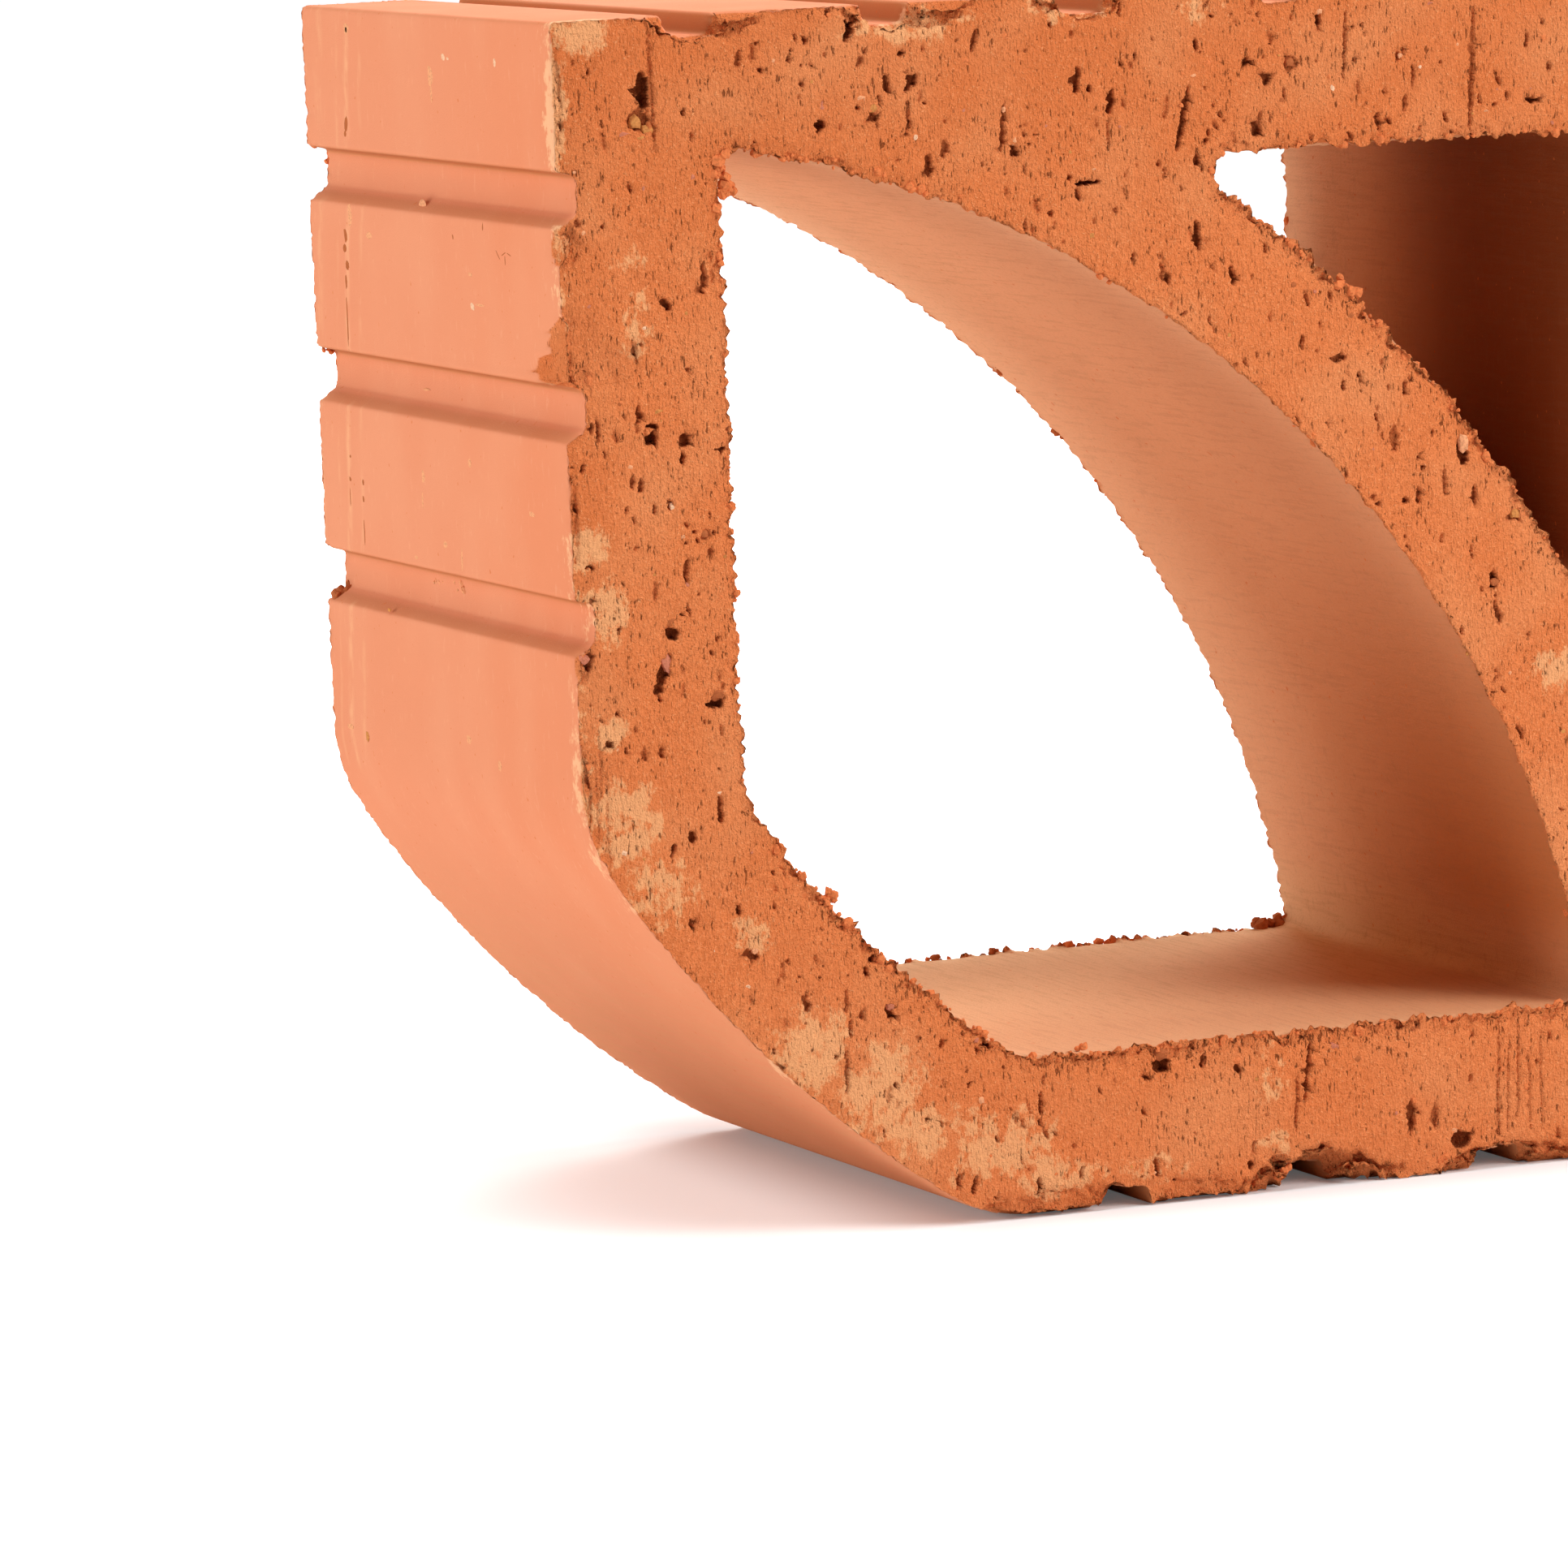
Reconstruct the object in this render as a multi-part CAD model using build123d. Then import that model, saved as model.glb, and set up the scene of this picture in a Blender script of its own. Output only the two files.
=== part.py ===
from build123d import *

import math
import os

# A pierced block of fired clay: one section, pushed through a die and cut to depth by a wire.
# The section lies in X and Z, the depth runs along Y, and the origin is under the middle of the block.

# Outside of the block: a square face, so that four blocks turned about one corner close a ring
block_face = 200.0
block_depth = 120.0

# Walls around the openings
left_wall = 28.0
bottom_wall = 26.5
top_wall = 27.5
right_wall = 17.0

# Arched band, a quarter ring struck from the cut-off corner
crown_wall = 19.5
band_thickness = 22.5
arch_corner_round = 2.5

# Cut-off corner, a shallow outward bow between the left side and the bottom
corner_leg = 69.5
corner_bow = 6.0
corner_wall = 25.5
corner_round = 30.0
inner_corner_round = 14.0

# Corner opening outside the band, with blunt tips
tip_flat = 5.5
spandrel_round = 2.0

# Mortar grooves on the four sides
groove_mouth = 9.2
groove_depth = 3.4
groove_steep_run = 0.8
groove_slope_run = 2.4
groove_pitch = 34.3
left_groove_from_top = 28.5
bottom_groove_from_right = 38.5
groove_lip_round = 0.9
side_corner_round = 1.2

left_side = -block_face / 2
right_side = block_face / 2
half_depth = block_depth / 2
arch_radius = block_face - crown_wall
band_radius = arch_radius + band_thickness

# The bow is an arc through both ends of the cut, and its wall follows the same centre.
bow_chord = corner_leg * math.sqrt(2)
bow_radius = (bow_chord ** 2 / 4 + corner_bow ** 2) / (2 * corner_bow)
bow_centre_run = corner_leg / 2 + (bow_radius - corner_bow) / math.sqrt(2)
inner_bow_radius = bow_radius - corner_wall
bow_centre = (left_side + bow_centre_run, bow_centre_run)


def box(x_low, x_high, z_low, z_high):
    """A rectangle between two corners of the section."""
    middle = Pos((x_low + x_high) / 2, (z_low + z_high) / 2)
    return middle * Rectangle(x_high - x_low, z_high - z_low)


def disc(centre, radius):
    """A full disc in the section."""
    return Pos(*centre) * Circle(radius)


def round_near(section, points, radius):
    """Round the corners of the section that lie nearest to the given points."""
    corners = [section.vertices().sort_by_distance((x, z, 0))[0] for x, z in points]
    return fillet(corners, radius)


def groove(x, z, along, inward):
    """A mortar groove: steep on the wall it meets first along the side, sloped on the other."""
    start = groove_mouth / 2
    profile = [
        (start, 0),
        (start - groove_steep_run, groove_depth),
        (groove_slope_run - start, groove_depth),
        (-start, 0),
    ]
    places = [
        (x + run * along[0] + deep * inward[0], z + run * along[1] + deep * inward[1])
        for run, deep in profile
    ]
    return make_face(Polyline(places, close=True)), places


def groove_rows(first, last):
    """Groove places from one end of a side down to the other, one pitch apart."""
    count = max(1, 1 + math.floor((first - last - groove_mouth) / groove_pitch))
    return [first - step * groove_pitch for step in range(count)]


# Outside of the section, with the cut-off corner bowed and eased into both sides
outside = box(left_side, right_side, 0, block_face)
corner_square = box(left_side, left_side + corner_leg, 0, corner_leg)
outside = outside - (corner_square - disc(bow_centre, bow_radius))
bow_ends = [(left_side, corner_leg), (left_side + corner_leg, 0)]
outside = round_near(outside, bow_ends, corner_round)
square_corners = [(left_side, block_face), (right_side, block_face), (right_side, 0)]
outside = round_near(outside, square_corners, side_corner_round)

# Mortar grooves: the rows on the right and top match those on the left and bottom
left_rows = groove_rows(block_face - left_groove_from_top, corner_leg + corner_round / 3)
right_rows = groove_rows(block_face - left_groove_from_top, groove_mouth)
bottom_rows = groove_rows(right_side - bottom_groove_from_right, left_side + corner_leg + corner_round / 3)
top_rows = groove_rows(right_side - bottom_groove_from_right, left_side + groove_mouth)
upward, rightward = (0, 1), (1, 0)
grooves = [groove(left_side, z, upward, (1, 0)) for z in left_rows]
grooves += [groove(right_side, z, upward, (-1, 0)) for z in right_rows]
grooves += [groove(x, 0, rightward, (0, 1)) for x in bottom_rows]
grooves += [groove(x, block_face, rightward, (0, -1)) for x in top_rows]
lips = []
for cut, places in grooves:
    outside = outside - cut
    lips += places
outside = round_near(outside, lips, groove_lip_round)

# Quarter-round opening inside the band, with its own bowed corner
cut_corner = (left_side, 0)
arch_left = left_side + left_wall
arch_opening = box(arch_left, right_side, bottom_wall, block_face) & disc(cut_corner, arch_radius)
inner_rise = bow_centre_run - math.sqrt(inner_bow_radius ** 2 - (bow_centre_run - left_wall) ** 2)
inner_run = bow_centre_run - math.sqrt(inner_bow_radius ** 2 - (bow_centre_run - bottom_wall) ** 2)
inner_square = box(arch_left, left_side + inner_run, bottom_wall, inner_rise)
arch_opening = arch_opening - (inner_square - disc(bow_centre, inner_bow_radius))
inner_ends = [(arch_left, inner_rise), (left_side + inner_run, bottom_wall)]
arch_opening = round_near(arch_opening, inner_ends, inner_corner_round)
arch_top = math.sqrt(arch_radius ** 2 - left_wall ** 2)
arch_foot = left_side + math.sqrt(arch_radius ** 2 - bottom_wall ** 2)
arch_opening = round_near(arch_opening, [(arch_left, arch_top), (arch_foot, bottom_wall)], arch_corner_round)

# Opening in the far corner, outside the band, with its two thin tips blunted
spandrel_top = block_face - top_wall
spandrel_right = right_side - right_wall
tip_left = left_side + math.sqrt(band_radius ** 2 - (spandrel_top - tip_flat) ** 2)
tip_bottom = math.sqrt(band_radius ** 2 - (spandrel_right - tip_flat - left_side) ** 2)
spandrel = box(tip_left, spandrel_right, tip_bottom, spandrel_top) - disc(cut_corner, band_radius)
spandrel_corners = [
    (spandrel_right, spandrel_top),
    (tip_left, spandrel_top),
    (spandrel_right, tip_bottom),
]
spandrel = round_near(spandrel, spandrel_corners, spandrel_round)

# The clay column cut to depth
section = outside - arch_opening - spandrel
breeze_block = extrude(Plane.XZ * section, amount=half_depth, both=True)
breeze_block.label = "breeze_block"

os.makedirs("parts", exist_ok=True)
export_step(breeze_block, "parts/breeze_block.step")
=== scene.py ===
import logging
import math
from dataclasses import dataclass, field
from enum import Enum
from typing import Any, Dict, List, Optional, Sequence, Tuple, Union

import bpy
import numpy as np
from mathutils import Matrix, Vector, noise
from mathutils.geometry import delaunay_2d_cdt
from mathutils.kdtree import KDTree


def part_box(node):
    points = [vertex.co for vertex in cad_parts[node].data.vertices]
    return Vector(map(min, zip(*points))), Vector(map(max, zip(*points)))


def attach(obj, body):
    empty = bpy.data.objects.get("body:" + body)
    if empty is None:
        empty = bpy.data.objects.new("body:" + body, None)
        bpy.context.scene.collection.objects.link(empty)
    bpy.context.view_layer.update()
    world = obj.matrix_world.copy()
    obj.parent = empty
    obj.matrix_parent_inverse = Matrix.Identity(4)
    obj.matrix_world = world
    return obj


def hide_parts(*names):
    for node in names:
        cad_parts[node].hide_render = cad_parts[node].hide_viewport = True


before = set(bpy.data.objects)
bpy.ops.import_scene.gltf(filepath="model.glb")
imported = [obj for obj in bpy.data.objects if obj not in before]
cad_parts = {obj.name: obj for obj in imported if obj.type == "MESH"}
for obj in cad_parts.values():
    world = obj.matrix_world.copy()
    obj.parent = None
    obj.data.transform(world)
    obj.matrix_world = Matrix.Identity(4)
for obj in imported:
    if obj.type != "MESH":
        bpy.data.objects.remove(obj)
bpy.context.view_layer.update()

LOG = logging.getLogger("breeze_block")
MM = 0.001
WHITE = (1.0, 1.0, 1.0, 1.0)

Colour = Tuple[float, float, float]
Place = Tuple[float, float, float]
Row = Tuple[Sequence[float], Sequence[float], Sequence[float], float]
Feed = Union["Wire", float, int, str, bool, Sequence[float], Vector, None]


class Side(Enum):
    """The two wire-cut faces, by the sign of their place along the depth."""

    FRONT = -1.0
    BACK = 1.0


class Wire:
    """A node socket on which Python's operators add Math nodes."""

    def __init__(self, graph: "Graph", socket: bpy.types.NodeSocket) -> None:
        """Keep the socket and the graph that it belongs to."""
        self.graph = graph
        self.socket = socket

    def math(self, operation: str, *others: Feed) -> "Wire":
        """A Math node with this socket as its first value.

        Args:
            operation: Blender's name of the operation.
            others: The node's other values or sockets.

        Returns:
            The node's result.
        """
        return self.graph.add("ShaderNodeMath", {"operation": operation}, dict(enumerate((self, *others))))

    def __add__(self, other: Feed) -> "Wire":
        """Sum."""
        return self.math("ADD", other)

    def __radd__(self, other: Feed) -> "Wire":
        """Sum, reflected."""
        return self.math("ADD", other)

    def __sub__(self, other: Feed) -> "Wire":
        """Difference."""
        return self.math("SUBTRACT", other)

    def __rsub__(self, other: Feed) -> "Wire":
        """Difference, reflected."""
        return (self * -1.0).math("ADD", other)

    def __mul__(self, other: Feed) -> "Wire":
        """Product."""
        return self.math("MULTIPLY", other)

    def __rmul__(self, other: Feed) -> "Wire":
        """Product, reflected."""
        return self.math("MULTIPLY", other)

    def fade(self, low: Feed, high: Feed, start: float = 0.0, end: float = 1.0) -> "Wire":
        """A smooth step of this value.

        Args:
            low: Value at which the step starts.
            high: Value at which the step ends.
            start: Result at and before low.
            end: Result at and past high.

        Returns:
            The stepped value.
        """
        settings = {"interpolation_type": "SMOOTHSTEP", "clamp": True}
        return self.graph.add("ShaderNodeMapRange", settings, {0: self, 1: low, 2: high, 3: start, 4: end})


class Graph:
    """A node tree that is filled from expressions."""

    def __init__(self, tree: bpy.types.NodeTree) -> None:
        """Start with an empty tree."""
        self.tree = tree
        tree.nodes.clear()

    def add(
        self,
        kind: str,
        settings: Optional[Dict[str, Any]] = None,
        feeds: Optional[Dict[Union[str, int], Feed]] = None,
        output: Union[str, int] = 0,
    ) -> Wire:
        """Add one node.

        Args:
            kind: The node's type.
            settings: Properties, set first; a colour ramp has "stops" and "ramp", its interpolation.
            feeds: Values or wires, by the socket's name or number.
            output: Name or number of the socket that is returned.

        Returns:
            The asked output of the new node.
        """
        node = self.tree.nodes.new(kind)
        for name, value in (settings or {}).items():
            if name == "stops":
                self._set_stops(node.color_ramp, value)
            elif name == "ramp":
                node.color_ramp.interpolation = value
            else:
                setattr(node, name, value)
        for key, value in (feeds or {}).items():
            if isinstance(value, Wire):
                self.tree.links.new(value.socket, node.inputs[key])
            elif value is not None:
                node.inputs[key].default_value = value
        return Wire(self, node.outputs[output]) if node.outputs else Wire(self, node.inputs[0])

    @staticmethod
    def _set_stops(ramp: bpy.types.ColorRamp, stops: Sequence[Tuple[float, Sequence[float]]]) -> None:
        """Give a colour ramp its stops.

        Args:
            ramp: The ramp.
            stops: Place and colour of each stop.
        """
        while len(ramp.elements) > 1:
            ramp.elements.remove(ramp.elements[-1])
        ramp.elements[0].position, ramp.elements[0].color = stops[0]
        for position, colour in stops[1:]:
            ramp.elements.new(position).color = colour

    def vector(self, operation: str, *values: Feed) -> Wire:
        """A Vector Math node.

        Args:
            operation: Blender's name of the operation.
            values: The node's vectors; a scale takes its factor as the second value.

        Returns:
            The node's result.
        """
        feeds: Dict[Union[str, int], Feed] = dict(enumerate(values))
        if operation == "SCALE":
            feeds = {0: values[0], "Scale": values[1]}
        return self.add("ShaderNodeVectorMath", {"operation": operation}, feeds)

    def combine(self, x: Feed, y: Feed, z: Feed) -> Wire:
        """A vector from three values."""
        return self.add("ShaderNodeCombineXYZ", None, {0: x, 1: y, 2: z})

    def split(self, vector: Wire) -> Tuple[Wire, Wire, Wire]:
        """Take a vector apart.

        Args:
            vector: The vector.

        Returns:
            Its three values.
        """
        first = self.add("ShaderNodeSeparateXYZ", None, {0: vector})
        node = first.socket.node
        return first, Wire(self, node.outputs[1]), Wire(self, node.outputs[2])

    def mix(self, share: Feed, first: Feed, second: Feed) -> Wire:
        """A colour mix.

        Args:
            share: Share of the second colour.
            first: Colour at share 0.
            second: Colour at share 1.

        Returns:
            The mixed colour.
        """

        def filled(colour: Feed) -> Feed:
            """A plain colour with full cover; a wire stays as it is."""
            return (*colour, 1.0) if isinstance(colour, tuple) else colour

        settings = {"data_type": "RGBA", "clamp_factor": True}
        return self.add("ShaderNodeMix", settings, {0: share, 6: filled(first), 7: filled(second)}, 2)

    def noise(self, place: Wire, scale: float, detail: float = 2.0, rough: float = 0.5) -> Wire:
        """Value noise between 0 and 1.

        Args:
            place: Where the noise is read.
            scale: Features per unit of place.
            detail: Octaves.
            rough: Weight of the finer octaves.

        Returns:
            The noise value.
        """
        feeds = {"Vector": place, "Scale": scale, "Detail": detail, "Roughness": rough}
        return self.add("ShaderNodeTexNoise", None, feeds)

    def cells(self, place: Wire, scale: float) -> Wire:
        """Distance to the nearest of many scattered points."""
        return self.add("ShaderNodeTexVoronoi", None, {"Vector": place, "Scale": scale}, "Distance")


@dataclass(frozen=True)
class Outline:
    """One closed edge of the section: even points and their directions into the open air."""

    points: np.ndarray
    outward: np.ndarray

    @property
    def count(self) -> int:
        """How many points the edge has."""
        return len(self.points)


@dataclass
class Section:
    """The block's section, read from the front face of the solid and divided evenly.

    The groove fields say where shade is painted into a groove, under its steep wall and on the outer part
    of its slope, and the crumble fields say how far an edge crumbles by the way it faces. A share is a part
    of the size that it is used with.
    """

    node: str = "breeze_block"
    step: float = 0.55 * MM
    corner_angle: float = math.radians(22.0)
    straight_ratio: float = 2.5
    outside_soft: float = 0.45 * MM
    opening_soft: float = 0.45 * MM
    hollow_soft: float = 1.3 * MM
    hollow_turn: float = math.radians(8.0)
    soft_tails: float = 3.0
    turn_reach: float = 1.2 * MM
    shake_share: float = 0.2
    groove_floor: float = 3.4 * MM
    groove_reach_share: float = 1.1
    groove_slope_share: float = 0.65
    groove_lip_share: float = 0.15
    groove_wall_lean: float = 0.5
    wall_shade: float = 1.7
    wall_shade_soft: float = 1.5 * MM
    slope_shade: float = 0.55
    slope_shade_soft: float = 0.6 * MM
    bow_reach: float = 87.0 * MM
    torn_end: float = 78.0 * MM
    torn_fade: float = 25.0 * MM
    torn_gain: float = 0.38
    torn_lean: float = -0.5
    torn_level: float = -0.95
    crumble_least: float = 0.3
    crumble_mean: float = 0.52
    crumble_rightward: float = 0.1
    crumble_upward: float = 0.34
    crumble_outside: float = 0.45
    outlines: List[Outline] = field(default_factory=list)
    front: float = 0.0
    back: float = 0.0

    def read(self) -> "Section":
        """Fill the outlines and the depth from the solid.

        Returns:
            The section itself.
        """
        low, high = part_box(self.node)
        self.front, self.back = low.y, high.y
        loops = self._edges()
        widest = max(np.ptp(loop[:, 0]) for loop in loops)
        softs = [self.opening_soft if np.ptp(loop[:, 0]) < widest else self.outside_soft for loop in loops]
        self.outlines = [self._divide(loop, soft) for loop, soft in zip(loops, softs)]
        return self

    def _edges(self) -> List[np.ndarray]:
        """Find the closed edges of the front face.

        Returns:
            The corners of each edge in order, with the clay on their left.
        """
        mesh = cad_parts[self.node].data
        mesh.calc_loop_triangles()
        places = np.array([v.co for v in mesh.vertices])
        merge = 1e-6
        keys = [tuple(k) for k in np.round(places / merge).astype(int)]
        first: Dict[Tuple[int, ...], int] = {}
        same = [first.setdefault(key, number) for number, key in enumerate(keys)]
        runs = set()
        for triangle in mesh.loop_triangles:
            corners = [same[v] for v in triangle.vertices]
            if max(places[c][1] for c in corners) < self.front + merge:
                runs.update((corners[i], corners[(i + 1) % 3]) for i in range(3))
        follow = {a: b for a, b in runs if (b, a) not in runs}
        loops = []
        while follow:
            start = min(follow)
            chain = [start]
            while follow[chain[-1]] != start:
                chain.append(follow.pop(chain[-1]))
            follow.pop(chain[-1])
            loops.append(places[chain][:, [0, 2]])
        return loops

    def _divide(self, loop: np.ndarray, soft: float) -> Outline:
        """Round the facets and corners of an edge and divide it evenly.

        Args:
            loop: Corners of the edge.
            soft: How far its corners are rounded.

        Returns:
            The divided edge.
        """
        runs = np.roll(loop, -1, axis=0) - loop
        lengths = np.linalg.norm(runs, axis=1)
        slopes = runs / lengths[:, None]
        before, after = np.roll(slopes, 1, axis=0), slopes
        long_before, long_after = np.roll(lengths, 1), lengths
        bend = np.arccos(np.clip((before * after).sum(1), -1.0, 1.0))
        share = long_before / (long_before + long_after)
        share = np.where(long_before > self.straight_ratio * long_after, 0.0, share)
        share = np.where(long_after > self.straight_ratio * long_before, 1.0, share)
        eased = before * (1.0 - share)[:, None] + after * share[:, None]
        eased /= np.linalg.norm(eased, axis=1)[:, None]
        sharp = (bend > self.corner_angle)[:, None]
        leave, arrive = np.where(sharp, after, eased), np.where(sharp, before, eased)
        points = []
        for number in range(len(loop)):
            upcoming = (number + 1) % len(loop)
            parts = max(1, round(lengths[number] / self.step))
            t = (np.arange(parts) / parts)[:, None]
            start, end = loop[number], loop[upcoming]
            pull = lengths[number]
            points.append(
                (2 * t**3 - 3 * t**2 + 1) * start
                + (t**3 - 2 * t**2 + t) * pull * leave[number]
                + (3 * t**2 - 2 * t**3) * end
                + (t**3 - t**2) * pull * arrive[upcoming]
            )
        plain = np.concatenate(points)
        broad = self._soften(plain, self.hollow_soft)
        hollow = np.clip(self._turn(broad) / -self.hollow_turn, 0.0, 1.0)[:, None]
        even = self._soften(plain, soft) * (1.0 - hollow) + broad * hollow
        along = np.roll(even, -1, axis=0) - np.roll(even, 1, axis=0)
        along /= np.linalg.norm(along, axis=1)[:, None]
        return Outline(even, np.stack([along[:, 1], -along[:, 0]], axis=1))

    def _soften(self, even: np.ndarray, soft: float) -> np.ndarray:
        """Round the corners of an evenly divided edge, as firing does.

        Args:
            even: Points or numbers along the edge.
            soft: How far each one spreads.

        Returns:
            The rounded edge.
        """
        reach = math.ceil(self.soft_tails * soft / self.step)
        weights = {k: math.exp(-0.5 * (k * self.step / soft) ** 2) for k in range(-reach, reach + 1)}
        total = sum(weights.values())
        return sum(np.roll(even, k, axis=0) * (weight / total) for k, weight in weights.items())

    def _turn(self, even: np.ndarray) -> np.ndarray:
        """Measure how an evenly divided edge turns.

        Args:
            even: Points along the edge.

        Returns:
            The turn at each point, positive where the clay stands out and negative in a hollow.
        """
        ahead = np.roll(even, -1, axis=0) - even
        slope = np.unwrap(np.arctan2(ahead[:, 1], ahead[:, 0]))
        turn = (slope - np.roll(slope, 1) + math.pi) % (2.0 * math.pi) - math.pi
        span = math.ceil(self.turn_reach / self.step)
        total = sum(np.roll(turn, k) for k in range(-span, span + 1))
        return total / (2 * span + 1) * self.hollow_soft / self.step

    def shelter(self) -> np.ndarray:
        """Find where shade is painted into a groove: under its steep wall and on the outer part of its slope.

        Returns:
            The share of painted shade, for each edge point.
        """
        edge, air = self.edge_points(), self.edge_outward()
        low, high = edge.min(axis=0), edge.max(axis=0)
        inset = np.minimum(edge - low, high - edge)
        beside = np.where(inset[:, 0] < inset[:, 1], air[:, 1], air[:, 0])
        deep = inset.min(axis=1)
        grooved = deep < self.groove_reach_share * self.groove_floor
        grooved = grooved & ((edge - low).sum(axis=1) > self.bow_reach)
        grooved = grooved & (self.in_opening() < 0.5)
        steep = grooved & (beside < -self.groove_wall_lean)
        slope = grooved & (beside > self.groove_wall_lean)
        slope = slope & (deep < self.groove_slope_share * self.groove_floor)
        shade, base = np.zeros(len(edge)), 0
        for outline in self.outlines:
            here = slice(base, base + outline.count)
            under = self._soften(steep[here].astype(float), self.wall_shade_soft) * self.wall_shade
            lower = self._soften(slope[here].astype(float), self.slope_shade_soft) * self.slope_shade
            shade[here] = np.minimum(1.0, np.maximum(under, lower))
            base += outline.count
        return shade * np.clip(deep / (self.groove_lip_share * self.groove_floor), 0.0, 1.0) * grooved

    def edge_points(self) -> np.ndarray:
        """All the edges' points, one edge after another."""
        return np.concatenate([outline.points for outline in self.outlines])

    def edge_outward(self) -> np.ndarray:
        """All the edges' directions into the open air."""
        return np.concatenate([outline.outward for outline in self.outlines])

    def corner(self) -> np.ndarray:
        """The block's lower left corner, seen from the front."""
        return self.edge_points().min(axis=0)

    def in_opening(self) -> np.ndarray:
        """Tell the openings from the outside.

        Returns:
            For each edge point, 1 on an opening and 0 on the outside.
        """
        spans = [np.ptp(outline.points[:, 0]) for outline in self.outlines]
        return np.concatenate([
            np.full(outline.count, float(span < max(spans))) for outline, span in zip(self.outlines, spans)
        ])

    def crumble(self) -> np.ndarray:
        """Find how far each edge crumbles: most where the wire left the clay, upwards.

        Returns:
            A share for each edge point.
        """
        air = self.edge_outward()
        facing = self.crumble_mean + self.crumble_rightward * air[:, 0] + self.crumble_upward * air[:, 1]
        inside = np.maximum(self.crumble_least, facing)
        from_left = self.edge_points()[:, 0] - self.corner()[0]
        torn_top = np.clip((self.torn_end - from_left) / self.torn_fade, 0.0, 1.0)
        torn_top = torn_top * (air[:, 1] < self.torn_lean)
        torn_top = np.maximum(torn_top, (air[:, 1] < self.torn_level) * (from_left > self.torn_end))
        inside = inside + self.torn_gain * torn_top
        return np.where(self.in_opening() > 0.5, inside, self.crumble_outside)

    def edge_runs(self) -> np.ndarray:
        """Number the edges' points in pairs of neighbours.

        Returns:
            The pairs along all the edges.
        """
        pairs, base = [], 0
        for outline in self.outlines:
            here = np.arange(outline.count)
            pairs.append(np.stack([here, np.roll(here, -1)], axis=1) + base)
            base += outline.count
        return np.concatenate(pairs)

    def lattice(self, pitch: float, seed: int) -> np.ndarray:
        """Shaken points of a three-way lattice over the clay.

        Args:
            pitch: Distance between neighbouring points.
            seed: Seed of the shake.

        Returns:
            The points.
        """
        points, runs = self.edge_points(), self.edge_runs()
        start, end = points[runs[:, 0]], points[runs[:, 1]]
        rise = pitch * math.sqrt(3) / 2
        rows = np.arange(points[:, 1].min() + rise / 2, points[:, 1].max(), rise)
        found = []
        for number, height in enumerate(rows):
            crosses = (start[:, 1] <= height) != (end[:, 1] <= height)
            low, high = start[crosses], end[crosses]
            share = (height - low[:, 1]) / (high[:, 1] - low[:, 1])
            places = np.sort(low[:, 0] + share * (high[:, 0] - low[:, 0]))
            offset = pitch / 2 if number % 2 else 0.0
            for left, right in zip(places[::2], places[1::2]):
                first = math.ceil((left - offset) / pitch)
                across = np.arange(first, math.floor((right - offset) / pitch) + 1) * pitch + offset
                found.append(np.stack([across, np.full(len(across), height)], axis=1))
        inside = np.concatenate(found)
        draw = np.random.default_rng(seed)
        return inside + draw.uniform(-self.shake_share, self.shake_share, inside.shape) * pitch

    def nearest(self, places: np.ndarray) -> Tuple[np.ndarray, np.ndarray]:
        """Find the nearest edge point of each place.

        Args:
            places: The places.

        Returns:
            The distances and the edge points' numbers.
        """
        edge = self.edge_points()
        tree = KDTree(len(edge))
        for number, (x, z) in enumerate(edge):
            tree.insert((x, 0.0, z), number)
        tree.balance()
        hits = [tree.find((x, 0.0, z)) for x, z in places]
        return np.array([hit[2] for hit in hits]), np.array([hit[1] for hit in hits])

    def fill(self, inside: np.ndarray) -> np.ndarray:
        """Triangles over the section.

        Args:
            inside: Points between the edges.

        Returns:
            Corner numbers, the edges' points first and then the inside ones.
        """
        places = [Vector(p) for p in np.concatenate([self.edge_points(), inside])]
        runs = [tuple(map(int, run)) for run in self.edge_runs()]
        inside_edges, nearness = 1, 1e-9
        made = delaunay_2d_cdt(places, runs, [], inside_edges, nearness)
        origin = [numbers[0] for numbers in made[3]]
        faces = np.array([[origin[v] for v in face] for face in made[2]])
        spans = np.flatnonzero((faces < len(self.edge_points())).all(axis=1))
        middles = np.array([[places[v] for v in face] for face in faces[spans]]).mean(axis=1)
        return np.delete(faces, spans[~self.holds(middles)], axis=0)

    def holds(self, places: np.ndarray) -> np.ndarray:
        """Tell the clay from the openings.

        Args:
            places: The places.

        Returns:
            Whether each place is in the clay.
        """
        points, runs = self.edge_points(), self.edge_runs()
        start, end = points[runs[:, 0]], points[runs[:, 1]]
        x, z = places[:, :1], places[:, 1:]
        crosses = (start[:, 1] <= z) != (end[:, 1] <= z)
        rise = np.where(end[:, 1] == start[:, 1], 1.0, end[:, 1] - start[:, 1])
        reach = start[:, 0] + (z - start[:, 1]) / rise * (end[:, 0] - start[:, 0])
        return (crosses & (reach > x)).sum(axis=1) % 2 == 1


@dataclass(frozen=True)
class Pit:
    """A hole, slot or scratch in a cut face, in millimetres from the block's lower left corner."""

    x: float
    z: float
    half_width: float
    half_height: float
    depth: float
    tilt: float = 0.0


@dataclass(frozen=True)
class Bloom:
    """A pale patch on the front face, in millimetres."""

    x: float
    z: float
    reach_x: float
    reach_z: float
    strength: float = 1.0


@dataclass(frozen=True)
class Chip:
    """A flake off the front edge, in millimetres; its place is on the edge."""

    x: float
    z: float
    along: float
    back: float
    bite: float


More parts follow.
